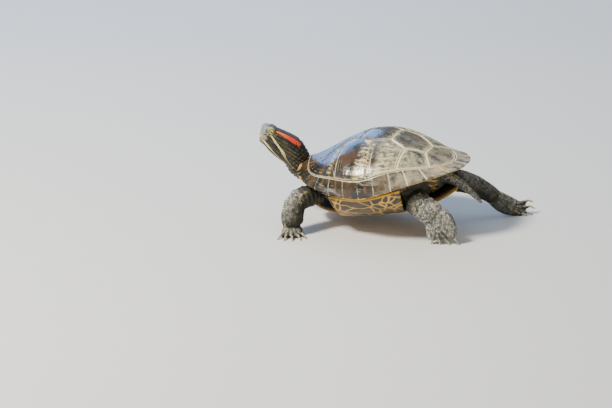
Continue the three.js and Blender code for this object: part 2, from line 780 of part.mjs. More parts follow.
function buildTurtle() {
  const turtle = new THREE.Group();
  turtle.name = 'red_eared_slider';
  const cutters = [];
  addCarapace(turtle, cutters);
  addPlastron(turtle, cutters);
  const trunk = toGeometry(cutAll(toSolid(trunkBody()), cutters));
  cutters.push(swollen(toSolid(trunk)));
  addMesh(turtle, 'trunk', trunk, materials.skin);
  addHead(turtle, cutters);
  for (const name of ['front_left', 'front_right', 'hind_left', 'hind_right']) {
    addLimb(turtle, name, cutters);
  }
  addMesh(turtle, 'tail', toGeometry(cutAll(toSolid(tailBody()), cutters)), materials.skin);
  return turtle;
}

const group = buildTurtle();
group.updateMatrixWorld(true);
const box = new THREE.Box3().setFromObject(group);
const center = box.getCenter(new THREE.Vector3());
group.position.set(-center.x, -center.y, -box.min.z);

export default group;
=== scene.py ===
import math
import bpy
import bmesh
import numpy as np
from itertools import product
from mathutils import Vector, Matrix, noise


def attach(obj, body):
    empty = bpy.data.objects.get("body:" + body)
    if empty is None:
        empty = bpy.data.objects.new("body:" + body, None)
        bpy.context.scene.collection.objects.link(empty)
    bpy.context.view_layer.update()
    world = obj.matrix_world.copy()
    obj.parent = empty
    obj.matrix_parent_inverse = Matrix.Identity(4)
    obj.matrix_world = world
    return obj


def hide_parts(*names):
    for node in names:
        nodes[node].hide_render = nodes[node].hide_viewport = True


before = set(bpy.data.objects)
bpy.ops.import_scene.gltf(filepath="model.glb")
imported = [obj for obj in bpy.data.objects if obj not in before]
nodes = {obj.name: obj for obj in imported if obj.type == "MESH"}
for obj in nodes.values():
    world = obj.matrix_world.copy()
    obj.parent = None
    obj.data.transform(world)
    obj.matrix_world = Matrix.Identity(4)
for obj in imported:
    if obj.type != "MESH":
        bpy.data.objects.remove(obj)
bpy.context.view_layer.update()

mm = 0.001
bodyX = -5.09   # where the middle of the body lies along x, in millimetres
print("frame loaded:", len(nodes), "nodes")

# Camera: angles in degrees, distance in metres, the rest in millimetres.
shot = dict(azimuth=21, elevation=18, distance=3.79, lens=200, sensor=36, sideways=-85.3, upward=19.0)


def placeCamera():
    a, e = math.radians(shot["azimuth"]), math.radians(shot["elevation"])
    right = Vector((math.cos(a), math.sin(a), 0))
    back = Vector((math.sin(a) * math.cos(e), -math.cos(a) * math.cos(e), math.sin(e)))
    up = back.cross(right)
    aim = (Vector((bodyX, 0, 0)) + right * shot["sideways"] + up * shot["upward"]) * mm
    data = bpy.data.cameras.new("portraitCamera")
    data.lens = shot["lens"]
    data.sensor_width = shot["sensor"]
    data.clip_end = 50
    camera = bpy.data.objects.new("portraitCamera", data)
    bpy.context.scene.collection.objects.link(camera)
    turned = Matrix((right, up, back)).transposed().to_4x4()
    camera.matrix_world = Matrix.Translation(aim + back * shot["distance"]) @ turned
    bpy.context.scene.camera = camera


# Lights: place, size in metres, power and colour; all look at the animal.
studio = dict(keyLight=((-1.0, -1.0, 1.7), 0.45, 88, (1, 0.93, 0.81)),
              skyPanel=((-0.3, 0.9, 1.8), 1.5, 12, (0.5, 0.72, 1)),
              sideFill=((1.6, -1.6, 0.9), 1.2, 7, (0.95, 0.97, 1)),
              blueWall=((-1.25, 1.5, 0.85), 1.2, 21, (0.22, 0.48, 1)))
surroundings = dict(aim=(0, 0, 0.05), world=(0.94, 0.96, 0.96), worldPower=0.34, floor=(0.72, 0.72, 0.7),
                    floorReach=14, floorRoughness=0.85)


def areaLight(name, place, size, power, colour):
    data = bpy.data.lights.new(name, "AREA")
    data.size = size
    data.energy = power
    data.color = colour
    lamp = bpy.data.objects.new(name, data)
    lamp.location = place
    lamp.rotation_euler = (Vector(surroundings["aim"]) - Vector(place)).to_track_quat("-Z", "Y").to_euler()
    bpy.context.scene.collection.objects.link(lamp)


def lightStudio():
    for name, settings in studio.items():
        areaLight(name, *settings)
    world = bpy.data.worlds.new("paleStudio")
    world.use_nodes = True
    background = world.node_tree.nodes["Background"]
    background.inputs["Color"].default_value = (*surroundings["world"], 1)
    background.inputs["Strength"].default_value = surroundings["worldPower"]
    bpy.context.scene.world = world


def layFloor():
    bm = bmesh.new()
    bmesh.ops.create_grid(bm, x_segments=2, y_segments=2, size=surroundings["floorReach"])
    mesh = bpy.data.meshes.new("studioFloor")
    bm.to_mesh(mesh)
    bm.free()
    floor = bpy.data.objects.new("studioFloor", mesh)
    bpy.context.scene.collection.objects.link(floor)
    material = bpy.data.materials.new("paleFloor")
    material.use_nodes = True
    shader = material.node_tree.nodes["Principled BSDF"]
    shader.inputs["Base Color"].default_value = (*surroundings["floor"], 1)
    shader.inputs["Roughness"].default_value = surroundings["floorRoughness"]
    mesh.materials.append(material)


placeCamera()
lightStudio()
layFloor()
print("camera, light and floor placed")


# An eased step from 0 to 1, and a bell of a given width.
def smooth(t):
    t = min(1.0, max(0.0, t))
    return t * t * (3 - 2 * t)


def bump(d, width):
    return math.exp(-(d / width) ** 2)


# The same two for arrays.
def smoothArray(t):
    t = np.clip(t, 0, 1)
    return t * t * (3 - 2 * t)


def swell(d, width):
    return np.exp(-(d / width) ** 2)


def newPiece(name, bm, material, replaced=(), shadeSmooth=True):
    mesh = bpy.data.meshes.new(name)
    bm.to_mesh(mesh)
    bm.free()
    piece = bpy.data.objects.new(name, mesh)
    bpy.context.scene.collection.objects.link(piece)
    if material:
        mesh.materials.append(material)
    if shadeSmooth:
        mesh.shade_smooth()
    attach(piece, "root")
    if replaced:
        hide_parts(*replaced)
    return piece


def setAttribute(mesh, name, values):
    layer = mesh.attributes.get(name) or mesh.attributes.new(name, "FLOAT", "POINT")
    layer.data.foreach_set("value", np.asarray(values, dtype=np.float32))


# A solid's loose triangles joined at their corners, facing outwards.
def mergedCopy(name):
    bm = bmesh.new()
    bm.from_mesh(nodes[name].data)
    bmesh.ops.remove_doubles(bm, verts=bm.verts, dist=0.02 * mm)
    bmesh.ops.recalc_face_normals(bm, faces=bm.faces)
    return bm


# Adds one bmesh to another and lets it go.
def addAndFree(part, whole):
    mesh = bpy.data.meshes.new("part")
    part.to_mesh(mesh)
    part.free()
    whole.from_mesh(mesh)
    bpy.data.meshes.remove(mesh)


# A wire in a material, so that masks can be written as sums and products.
class Wire:
    def __init__(self, recipe, socket):
        self.recipe, self.socket = recipe, socket

    def __add__(self, other):
        return self.recipe.math("ADD", self, other)

    def __sub__(self, other):
        return self.recipe.math("SUBTRACT", self, other)

    def __mul__(self, other):
        return self.recipe.math("MULTIPLY", self, other)

    def __truediv__(self, other):
        return self.recipe.math("DIVIDE", self, other)

    def __abs__(self):
        return self.recipe.math("ABSOLUTE", self)

    def most(self, other):
        return self.recipe.math("MAXIMUM", self, other)

    def sine(self):
        return self.recipe.math("SINE", self)

    def root(self):
        return self.recipe.math("SQRT", self)

    # Goes smoothly from one value to another while the wire goes from low to high.
    def fade(self, low, high, outLow=0.0, outHigh=1.0):
        made = self.recipe.node("ShaderNodeMapRange", interpolation_type="SMOOTHSTEP")
        self.recipe.feed(made, {"Value": self, "From Min": low, "From Max": high,
                                "To Min": outLow, "To Max": outHigh})
        return Wire(self.recipe, made.outputs["Result"])


# A material being made: paint() lays one colour of its palette after another over the base.
class Recipe:
    def __init__(self, name, palette, base):
        self.material = bpy.data.materials.new(name)
        self.material.use_nodes = True
        self.tree = self.material.node_tree
        self.palette = palette
        self.colour = palette[base]

    def node(self, kind, **settings):
        made = self.tree.nodes.new(kind)
        for key, value in settings.items():
            setattr(made, key, value)
        return made

    # A wire is linked to its socket; a constant or a colour is set on it.
    def feed(self, made, values):
        for key, value in values.items():
            socket = made.inputs[key]
            if isinstance(value, Wire):
                self.tree.links.new(value.socket, socket)
            else:
                socket.default_value = (*value, 1) if socket.type == "RGBA" else value

    def attribute(self, name):
        return Wire(self, self.node("ShaderNodeAttribute", attribute_name=name).outputs["Fac"])

    def place(self):
        return Wire(self, self.node("ShaderNodeTexCoord").outputs["Object"])

    def axes(self):
        made = self.node("ShaderNodeSeparateXYZ")
        self.feed(made, {0: self.place()})
        return [Wire(self, out) for out in made.outputs]

    def noise(self, scale, detail=3.0, rough=0.55, vector=None, distort=0.0, out="Fac"):
        made = self.node("ShaderNodeTexNoise")
        self.feed(made, {"Scale": scale, "Detail": detail, "Roughness": rough, "Distortion": distort,
                         "Vector": vector or self.place()})
        return Wire(self, made.outputs[out])

    # Noise about nought, to make the edge of a marking ragged.
    def wander(self, scale, detail, amount, **settings):
        return (self.noise(scale, detail, **settings) - 0.5) * amount

    def cells(self, scale, feature="F1", vector=None, randomness=1.0):
        made = self.node("ShaderNodeTexVoronoi", feature=feature)
        self.feed(made, {"Scale": scale, "Randomness": randomness, "Vector": vector or self.place()})
        return Wire(self, made.outputs["Distance"])

    def waves(self, scale, distortion, detail, detailScale):
        made = self.node("ShaderNodeTexWave", wave_type="BANDS", bands_direction="Z")
        self.feed(made, {"Scale": scale, "Distortion": distortion, "Detail": detail,
                         "Detail Scale": detailScale, "Vector": self.place()})
        return Wire(self, made.outputs["Fac"])

    def stretch(self, scale, turn=(0, 0, 0)):
        made = self.node("ShaderNodeMapping")
        self.feed(made, {"Scale": scale, "Rotation": turn, "Vector": self.place()})
        return Wire(self, made.outputs["Vector"])

    def math(self, operation, a, b=0.0, c=0.5):
        made = self.node("ShaderNodeMath", operation=operation)
        self.feed(made, {0: a, 1: b, 2: c})
        return Wire(self, made.outputs[0])

    # Colours are names from the palette, wires or plain values.
    def mix(self, factor, a, b):
        made = self.node("ShaderNodeMix", data_type="RGBA")
        a, b = (self.palette[c] if isinstance(c, str) else c for c in (a, b))
        self.feed(made, {0: factor, 6: a, 7: b})
        return Wire(self, made.outputs[2])

    def paint(self, mask, tint):
        self.colour = self.mix(mask, self.colour, tint)

    # What another function paints over the colour so far, without keeping it.
    def apart(self, painter, *settings):
        before = self.colour
        painter(self, *settings)
        self.colour, made = before, self.colour
        return made

    def relief(self, height, strength, distance):
        made = self.node("ShaderNodeBump")
        self.feed(made, {"Strength": strength, "Distance": distance, "Height": height})
        return Wire(self, made.outputs["Normal"])

    def finish(self, rough, normal=None, **fixed):
        values = {"Base Color": self.colour, "Roughness": rough}
        if normal:
            values["Normal"] = normal
        for key, value in fixed.items():
            values[key.replace("_", " ")] = value
        self.feed(self.tree.nodes["Principled BSDF"], values)
        return self.material


# Shape of the shell in its own frame: x to the rear, z up, millimetres.
shell = dict(front=95, rear=101.5, halfWidth=78, squareness=2.2, squarenessRear=2, height=52, fullness=0.52,
             slopeFront=1.5, slopeRear=1.5, rimFront=19, rimRear=12.5, nuchalArch=9, notch=9.5, notchWidth=15,
             bandEnds=0.155, bandSides=0.05, bandHips=0.05, pitch=9.5, lift=53.5, thickness=4.2)
shellTurn = Matrix.Rotation(math.radians(-shell["pitch"]), 4, "Y")


def fromShell(x, y, z):
    place = shellTurn @ Vector((x, y, z))
    return Vector((place.x + bodyX, place.y, place.z + shell["lift"])) * mm


def ovalRadius(angle):
    c, s = math.cos(angle), math.sin(angle)
    along = shell["rear"] if c > 0 else shell["front"]
    across = shell["halfWidth"] * (1 + 0.03 * c)
    n = shell["squarenessRear"] if c > 0 else shell["squareness"]
    return (abs(c / along) ** n + abs(s / across) ** n) ** (-1 / n)


def rimRadius(angle):
    radius = ovalRadius(angle)
    if math.cos(angle) > 0:
        return radius
    return radius - shell["notch"] * bump(radius * math.sin(angle), shell["notchWidth"])


def rimHeight(angle):
    c = math.cos(angle)
    if c > 0:
        return shell["rimRear"] * c ** 1.25 * (1 - 0.3 * c ** 6)
    y = rimRadius(angle) * math.sin(angle)
    return shell["rimFront"] * abs(c) ** 2.4 + shell["nuchalArch"] * bump(y, 17) * smooth(-c * 2)


def domeLevel(rho, angle):
    c = math.cos(angle)
    power = shell["fullness"] + (shell["slopeRear"] * c ** 3 if c > 0 else shell["slopeFront"] * c ** 4)
    rim = rimHeight(angle)
    return rim + (shell["height"] - rim) * max(0.0, 1 - rho * rho) ** power


def domeHeight(x, y):
    angle = math.atan2(y, x)
    return domeLevel(min(0.9995, math.hypot(x, y) / rimRadius(angle)), angle)


def surfaceNormal(height, x, y):
    dx = (height(x + 0.3, y) - height(x - 0.3, y)) / 0.6
    dy = (height(x, y + 0.3) - height(x, y - 0.3)) / 0.6
    return Vector((-dx, -dy, 1)).normalized()


def seamRadius(angle):
    c = math.cos(angle)
    hips = shell["bandHips"] * math.sin(2 * angle) ** 2 if c > 0 else 0
    ends = (shell["bandEnds"] - shell["bandSides"]) * c * c
    return ovalRadius(angle) * (1 - shell["bandSides"] - ends - hips)


def seamPoint(degrees):
    a = math.radians(degrees)
    return (seamRadius(a) * math.cos(a), seamRadius(a) * math.sin(a))


def seamArc(start, end):
    count = max(2, round(abs(end - start) / scutes["arcStep"]))
    return [seamPoint(start + (end - start) * k / count) for k in range(count + 1)]


# Scutes: corners of the middle row and directions in degrees of the seams between the side ones, then
# how finely and with what gap they are cut, then their relief.
scutes = dict(vertebralX=(-48, -12, 24, 59), vertebralY=(20, 20.5, 20, 13), flareX=(-30, 6, 41), flareY=26.5,
              costalAngle=(169, 113, 84, 57, 28), arcStep=6, gap=0.18, step=0.95, loops=(0.45, 1.1),
              trim=0.0001, snap=0.05, weld=0.06, edgeRound=0.75, edgeWidth=0.6, ringHeight=0.14,
              ringPitch=2.2, ringReach=9, ringSway=3, keel=0.7, keelShares=(0.4, 0.7, 1, 1.3, 1),
              keelWidth=5, keelRun=4, dents=0.35, grain=0.12)


def vertebralOutline(i):
    corners = list(zip(scutes["vertebralX"], scutes["vertebralY"]))
    front, rear = [], []
    if i == 0:
        front = [(seamPoint(180)[0], 0)]
        half = [seamPoint(scutes["costalAngle"][0]), corners[0]]
    elif i == 4:
        arc = seamArc(scutes["costalAngle"][4], 0)
        half, rear = [corners[3]] + arc[:-1], arc[-1:]
    else:
        half = [corners[i - 1], (scutes["flareX"][i - 1], scutes["flareY"]), corners[i]]
    return front + half + rear + [(x, -y) for x, y in reversed(half)]


def costalOutline(i, side):
    s = scutes
    inner = [(s["flareX"][i - 1], s["flareY"])] if i > 0 else []
    inner.append((s["vertebralX"][i], s["vertebralY"][i]))
    if i < 3:
        inner.append((s["flareX"][i], s["flareY"]))
    outline = inner + seamArc(s["costalAngle"][i + 1], s["costalAngle"][i])
    return [(x, y * side) for x, y in outline]


# Straight edges of a convex outline, each with its inward normal.
def outlineEdges(outline):
    middle = (sum(p[0] for p in outline) / len(outline), sum(p[1] for p in outline) / len(outline))
    edges = []
    for k, a in enumerate(outline):
        b = outline[(k + 1) % len(outline)]
        dx, dy = b[0] - a[0], b[1] - a[1]
        length = math.hypot(dx, dy)
        if length < 0.01:
            continue
        nx, ny = -dy / length, dx / length
        if (middle[0] - a[0]) * nx + (middle[1] - a[1]) * ny < 0:
            nx, ny = -nx, -ny
        edges.append((a[0], a[1], nx, ny))
    return edges


# How far a point lies inside one edge of an outline.
def insideEdge(x, y, edge):
    return (x - edge[0]) * edge[2] + (y - edge[1]) * edge[3]


# Cuts along a line that lies a little inside one edge of the outline.
def cutInside(bm, geom, edge, inset, **settings):
    x, y, nx, ny = edge
    bmesh.ops.bisect_plane(bm, geom=geom, plane_co=(x + nx * inset, y + ny * inset, 0),
                           plane_no=(-nx, -ny, 0), **settings)


# A grid trimmed to the outline by planes; shape() lays it on its surface, then it gets its thickness.
def buildPlate(name, outline, shape, material, replaced, thickness, step):
    edges = outlineEdges(outline)
    xs, ys = [p[0] for p in outline], [p[1] for p in outline]
    half = max(max(xs) - min(xs), max(ys) - min(ys)) / 2 + 1
    middle = ((max(xs) + min(xs)) / 2, (max(ys) + min(ys)) / 2, 0)
    segments = int(2 * half / step)
    bm = bmesh.new()
    bmesh.ops.create_grid(bm, x_segments=segments, y_segments=segments, size=half)
    bmesh.ops.translate(bm, verts=bm.verts, vec=middle)
    for edge in edges:
        whole = bm.verts[:] + bm.edges[:] + bm.faces[:]
        cutInside(bm, whole, edge, scutes["gap"], clear_outer=True, dist=scutes["trim"])
    for loop in scutes["loops"]:
        inset = scutes["gap"] + loop
        for edge in edges:
            near = [v for v in bm.verts if abs(insideEdge(v.co.x, v.co.y, edge) - inset) < step * 1.5]
            faces = list({f for v in near for f in v.link_faces})
            sides = list({e for f in faces for e in f.edges})
            cutInside(bm, near + sides + faces, edge, inset, dist=scutes["snap"])
    bmesh.ops.remove_doubles(bm, verts=bm.verts, dist=scutes["weld"])
    plan = [(v.co.x, v.co.y) for v in bm.verts]
    depth = [min(insideEdge(x, y, edge) for edge in edges) for x, y in plan]
    tops, bottoms = [], []
    for (x, y), d in zip(plan, depth):
        top, normal = shape(x, y, d)
        tops.append(top)
        bottoms.append(top - normal * thickness)
    made = bmesh.ops.extrude_face_region(bm, geom=bm.faces[:])
    lifted = {g for g in made["geom"] if isinstance(g, bmesh.types.BMVert)}
    keys = {(round(x, 4), round(y, 4)): k for k, (x, y) in enumerate(plan)}
    which, inner = [], []
    for v in bm.verts:
        k = keys[(round(v.co.x, 4), round(v.co.y, 4))]
        which.append(k)
        inner.append(v not in lifted)
        v.co = fromShell(*(tops[k] if v in lifted else bottoms[k]))
    bmesh.ops.recalc_face_normals(bm, faces=bm.faces)
    piece = newPiece(name, bm, material, replaced)
    setAttribute(piece.data, "edge", [depth[k] for k in which])
    setAttribute(piece.data, "planY", [abs(plan[k][1]) for k in which])
    setAttribute(piece.data, "inner", inner)
    return piece


# Dome of the shell with the relief of one scute: a worn rim, growth rings, dents, grain and the keel.
def domeShape(keel, seed):
    look = scutes

    def shape(x, y, d):
        normal = surfaceNormal(domeHeight, x, y)
        lift = -look["edgeRound"] * bump(max(0, d - look["gap"]), look["edgeWidth"])
        sway = noise.noise((x * 0.05, y * 0.05, seed)) * look["ringSway"]
        lift += look["ringHeight"] * math.sin(d * look["ringPitch"] + sway) * bump(d, look["ringReach"])
        lift += look["dents"] * noise.noise((x * 0.09, y * 0.09, seed + 3.1))
        lift += look["grain"] * noise.noise((x * 0.5, y * 0.35, seed + 7.7))
        lift += keel * bump(y, look["keelWidth"]) * smooth(d / look["keelRun"])
        return Vector((x, y, domeHeight(x, y))) + normal * lift, normal
    return shape


def hornRelief(r):
    streak = r.noise(260, 3, 0.6, r.stretch((0.35, 1.2, 1)))
    height = r.noise(900, 4, 0.6) * 0.35 + streak * 0.65 + r.cells(520) * 0.25
    return r.relief(height, 0.35, 0.0004)


carapacePaint = dict(olive=(0.012, 0.013, 0.009), brown=(0.070, 0.036, 0.015), slate=(0.028, 0.034, 0.040),
                     dust=(0.46, 0.405, 0.255), ash=(0.13, 0.115, 0.075), cream=(0.78, 0.69, 0.42),
                     lemon=(0.76, 0.64, 0.20), rust=(0.17, 0.068, 0.022))


# Markings of the side scutes, in metres along the shell. Each patch of squiggles has its middle,
# its half length and its strength; the ladder is a pale seam with rungs.
carapaceMarks = dict(squiggles=((-0.0085, 0.010, 1.0), (0.0165, 0.009, 1.0), (-0.047, 0.004, 0.45),
                                (0.034, 0.006, 0.4)), ladderX=0.0072, ladderReach=0.009)


def makeCarapaceMaterial():
    r = Recipe("carapaceHorn", carapacePaint, "olive")
    edge, side = r.attribute("edge"), r.attribute("planY")
    x, _, z = r.axes()
    rearward = (x + r.wander(70, 3, 0.02, rough=0.6)).fade(-0.002, 0.012)
    onCostal = side.fade(24, 28) * side.fade(78, 72)
    dusty = rearward * onCostal.most(x.fade(0.02, 0.055, 0.22, 0.6))
    r.paint(r.noise(42, 4, 0.6).fade(0.42, 0.6), "brown")
    r.paint(r.noise(75, 3).fade(0.5, 0.66), "slate")
    rust = r.noise(65, 4, 0.65, r.stretch((1, 1, 1.7))).fade(0.53, 0.66) * edge.fade(17, 5)
    r.paint(rust * onCostal.most(0.45) * 0.75, "rust")
    ground = r.mix(r.noise(100, 4, 0.7).fade(0.4, 0.53), "ash", "dust")
    r.paint(dusty * r.noise(110, 5, 0.72).fade(0.34, 0.56) * 0.9, ground)
    rings = (edge * 2.2).sine().fade(0.5, 1.0) * edge.fade(10, 3) * r.noise(160, 3).fade(0.47, 0.58)
    r.paint(rings * 0.5, "dust")
    patch = 0.0
    for centre, reach, strength in carapaceMarks["squiggles"]:
        patch = (abs(x - centre).fade(reach, reach * 0.45) * strength).most(patch)
    patch = patch * onCostal * r.noise(95, 3).fade(0.36, 0.52)
    r.paint(patch * r.noise(260, 4, 0.7).fade(0.42, 0.55) * 0.55, "dust")
    lineColour = r.mix(r.noise(120, 2).fade(0.42, 0.58), "lemon", "cream")
    r.paint(r.waves(92, 6.5, 3, 1.3).fade(0.62, 0.84) * patch * 0.85, lineColour)
    rung = (z * 2300 + r.noise(150, 2) * 7).sine().fade(0.2, 0.8) * edge.fade(5.0, 4.2) * 0.7
    ladder = rung.most(abs(edge - 4.8).fade(0.65, 0.25)) * r.noise(130, 3).fade(0.34, 0.5)
    ladder = ladder * abs(x - carapaceMarks["ladderX"]).fade(carapaceMarks["ladderReach"], 0.006)
    r.paint(ladder * onCostal * 0.8, "cream")
    widen = x.fade(-0.005, 0.02) * 1.1 + 0.42
    seam = (edge + r.wander(150, 3, 0.9) - widen).fade(0.4, -0.2)
    r.paint(seam * (onCostal * 0.85).most(x.fade(-0.02, 0.012, 0.25, 1)), "cream")
    r.paint(edge.fade(5.5, 1.4) * rearward * r.noise(210, 3).fade(0.4, 0.58) * 0.5, "cream")
    rough = dusty * 0.28 + r.noise(80, 3).fade(0.3, 0.7, 0.17, 0.32)
    return r.finish(rough, hornRelief(r), Coat_Weight=0.35, Coat_Roughness=0.16)


carapaceHorn = makeCarapaceMaterial()


def buildCarapace():
    for i in range(5):
        keel = scutes["keel"] * scutes["keelShares"][i]
        buildPlate(f"vertebralScute{i + 1}", vertebralOutline(i), domeShape(keel, i * 1.7), carapaceHorn,
                   (f"vertebral_{i + 1}",), shell["thickness"], scutes["step"])
    for i in range(4):
        for word, side in (("left", -1), ("right", 1)):
            buildPlate(f"{word}CostalScute{i + 1}", costalOutline(i, side), domeShape(0, i * 2.3 + side * 9),
                       carapaceHorn, (f"costal_{word}_{i + 1}",), shell["thickness"],
                       scutes["step"])
    print("carapace scutes built")


buildCarapace()


# Marginals: a closed section swept round the rim, parted where the splits give the seams in degrees.
# The lip is given by shares of the radius, with the drop below the rim and what the shell's ends take
# off it. Each orange patch has its direction, its height on the section and its reach both ways.
rim = dict(nuchalAngle=176.2, splits=(160, 145, 131.5, 118, 104.5, 91, 77.5, 64, 51, 37, 20),
           bandEnds=(176.2, 118, 64, 0), step=0.9,
           rows=44, perDegree=1.45, inset=0.1, groove=0.75, grooveWidth=0.7, notchDepth=1.3, notchWidth=4.5,
           notchReach=7, rearFrom=64, rearRun=10, dents=0.28, grain=0.1, ringHeight=0.12, ringPitch=2.4,
           ringReach=7, lip=((1, 0.5, 0), (0.996, 2.6, 1), (0.985, 5.2, 3)),
           patches=((-22, 0.14, 9, 0.12), (-168, 0.36, 4, 0.09), (-152, 0.38, 5, 0.06)))


def marginalSection(angle):
    c = abs(math.cos(angle))
    radius = rimRadius(angle)
    low = rimHeight(angle)
    seam = (seamRadius(angle) + 0.3) / radius
    slope = (domeLevel(seam + 0.01, angle) - domeLevel(seam - 0.01, angle)) / (0.02 * radius)
    tilt = math.hypot(slope, 1)
    topZ = domeLevel(seam, angle)
    underZ = min(low - 6.5 + 5 * c, (low - 5.5 + 3 * c + topZ - shell["thickness"]) / 2)
    shares = [seam + (1 - seam) * k / 6 for k in range(6)]
    outer = [(radius * share, domeLevel(min(1, share), angle)) for share in shares]
    lip = [(radius * share, low - drop + less * c) for share, drop, less in rim["lip"]]
    return outer + lip + [
        (radius * max(0.965 - 0.01 * c, seam + 0.035), low - 6.1 + 4 * c),   # underside of the lip
        (radius * max(0.93 - 0.03 * c, seam + 0.02), underZ),
        (radius * seam + slope / tilt * shell["thickness"], topZ - shell["thickness"] / tilt)]


# Point of a closed polyline at a fraction of its length.
def alongLoop(loop, fraction):
    closed = loop + [loop[0]]
    lengths = [math.dist(closed[k], closed[k + 1]) for k in range(len(loop))]
    reach = fraction * sum(lengths)
    for k, length in enumerate(lengths):
        if reach <= length or k == len(lengths) - 1:
            t = reach / length
            return [a + (b - a) * t for a, b in zip(closed[k], closed[k + 1])]
        reach -= length


# Distance in millimetres from the nearest seam, and place across the plate from -1 to 1.
def acrossMarginal(degrees, node):
    turned = abs(degrees)
    if node == "nuchal":
        return (180 - rim["nuchalAngle"] - abs(turned - 180)) * rim["perDegree"], 0
    seams = rim["splits"] + (rim["nuchalAngle"], 0)
    lower = max(t for t in seams if t <= turned + 0.001)
    upper = min(t for t in seams if t > turned - 0.001 and t > lower)
    arc = rimRadius(math.radians(degrees)) * math.pi / 180
    return min(turned - lower, upper - turned) * arc, (turned - (lower + upper) / 2) / (upper - lower) * 2


def buildBand(name, start, end, node, material):
    columns = max(8, round(abs(end - start) * rim["perDegree"] / rim["step"]))
    inset = rim["inset"] * (1 if end > start else -1)
    bm = bmesh.new()
    bmesh.ops.create_grid(bm, x_segments=columns, y_segments=rim["rows"], size=0.5)
    rows = []
    for v in bm.verts:
        u, w = v.co.x + 0.5, v.co.y + 0.5
        degrees = start + inset + (end - start - 2 * inset) * u
        angle = math.radians(degrees)
        radius, z = alongLoop(marginalSection(angle), w % 1.0)
        edge, along = acrossMarginal(degrees, node)
        outside = smooth((w - 0.02) / 0.06) * smooth((0.93 - w) / 0.06)
        rearPart = smooth((rim["rearFrom"] - abs(degrees)) / rim["rearRun"])
        sink = rim["groove"] * bump(edge, rim["grooveWidth"]) * outside
        scallop = rim["notchDepth"] * bump(edge, rim["notchWidth"]) * rearPart
        scallop *= bump(radius - rimRadius(angle), rim["notchReach"])
        place = Vector((radius * math.cos(angle), radius * math.sin(angle), z))
        dent = rim["dents"] * noise.noise(place * 0.11) + rim["grain"] * noise.noise(place * 0.6)
        ring = math.sin(edge * rim["ringPitch"] + 2 * noise.noise(place * 0.05))
        dent += rim["ringHeight"] * ring * bump(edge, rim["ringReach"])
        inward = Vector((-math.cos(angle), -math.sin(angle), 0))
        up = Vector((0, 0, 1 if w < 0.45 else -1))
        place += inward * (sink * 0.4 + scallop) - up * sink * 0.8 + up * dent * outside
        v.co = fromShell(*place)
        down = w if w < 0.9 else w - 1   # the inner wall counts below nought
        patch = max(bump(degrees - centre, wide) * bump(w - height, tall)
                    for centre, height, wide, tall in rim["patches"])
        rows.append((edge, along, down, patch))
    layers = [bm.verts.layers.float.new(key) for key in ("edge", "planX", "down", "patch")]
    for v, values in zip(bm.verts, rows):
        for layer, value in zip(layers, values):
            v[layer] = value
    bmesh.ops.remove_doubles(bm, verts=bm.verts, dist=0.01 * mm)
    bmesh.ops.holes_fill(bm, edges=[e for e in bm.edges if e.is_boundary], sides=0)
    bmesh.ops.recalc_face_normals(bm, faces=bm.faces)
    return newPiece(name, bm, material, (node,))


# The last colour of this palette is that of a painted reflection on the marginals.
marginalPaint = dict(olive=(0.018, 0.018, 0.013), brown=(0.062, 0.036, 0.016), dust=(0.38, 0.33, 0.215),
                     cream=(0.78, 0.69, 0.42), rust=(0.24, 0.10, 0.03), ochre=(0.66, 0.37, 0.10),
                     yellow=(0.74, 0.41, 0.04), scuff=(0.34, 0.33, 0.29))


def makeMarginalMaterial():
    r = Recipe("marginalHorn", marginalPaint, "olive")
    edge, along, down = (r.attribute(key) for key in ("edge", "planX", "down"))
    rearward = r.axes()[0].fade(0.004, 0.04)
    r.paint(r.noise(60, 4).fade(0.42, 0.62), "brown")
    r.paint(rearward * r.noise(130, 4, 0.7).fade(0.34, 0.6) * 0.9, "dust")
    # Horizontally stretched pale streaks on the front and bridge marginals: a painted reflection.
    scuff = r.noise(100, 4, 0.65, r.stretch((0.5, 0.5, 2))).fade(0.54, 0.66)
    r.paint(scuff * rearward.fade(0, 0.6, 0.55, 0), "scuff")
    across = abs(along + r.wander(170, 3, 0.8))
    bar = across.fade(0.2, 0.08) * r.noise(75, 2).fade(0.42, 0.55)
    r.paint(bar * rearward.fade(0, 1, 0.5, 0.15), "rust")
    patch = r.attribute("patch") * r.noise(170, 4, 0.7).fade(0.34, 0.62, 0.3, 1.25)
    r.paint(patch.fade(0.2, 0.75) * 0.85, "ochre")
    lip = down + r.wander(150, 3, 0.12)
    spot = across.fade(0.62, 0.45) * lip.fade(0.46, 0.52) * lip.fade(0.8, 0.72)
    r.paint(lip.fade(0.42, 0.47), r.mix(spot * 0.9, "yellow", "olive"))
    r.paint((edge + r.wander(330, 2, 0.8) - rearward * 0.5).fade(0.55, 0.1), "cream")
    r.paint(down.fade(0.022, 0.01) * r.noise(120, 2).fade(0.3, 0.45, 0.4, 0.9), "cream")
    r.paint(down.fade(-0.003, -0.012), "brown")
    rough = rearward * 0.26 + r.noise(110, 3).fade(0.35, 0.65, 0.14, 0.34)
    return r.finish(rough, hornRelief(r), Coat_Weight=0.3, Coat_Roughness=0.2)


marginalHorn = makeMarginalMaterial()


def buildMarginals():
    buildBand("nuchalScute", rim["nuchalAngle"], 360 - rim["nuchalAngle"], "nuchal", marginalHorn)
    for word, sign in (("right", 1), ("left", -1)):
        for part, start, end in zip(("front", "bridge", "rear"), rim["bandEnds"], rim["bandEnds"][1:]):
            buildBand(f"{word}{part.capitalize()}Marginals", sign * start, sign * end,
                      f"marginals_{word}_{part}", marginalHorn)
    print("marginals built")


buildMarginals()


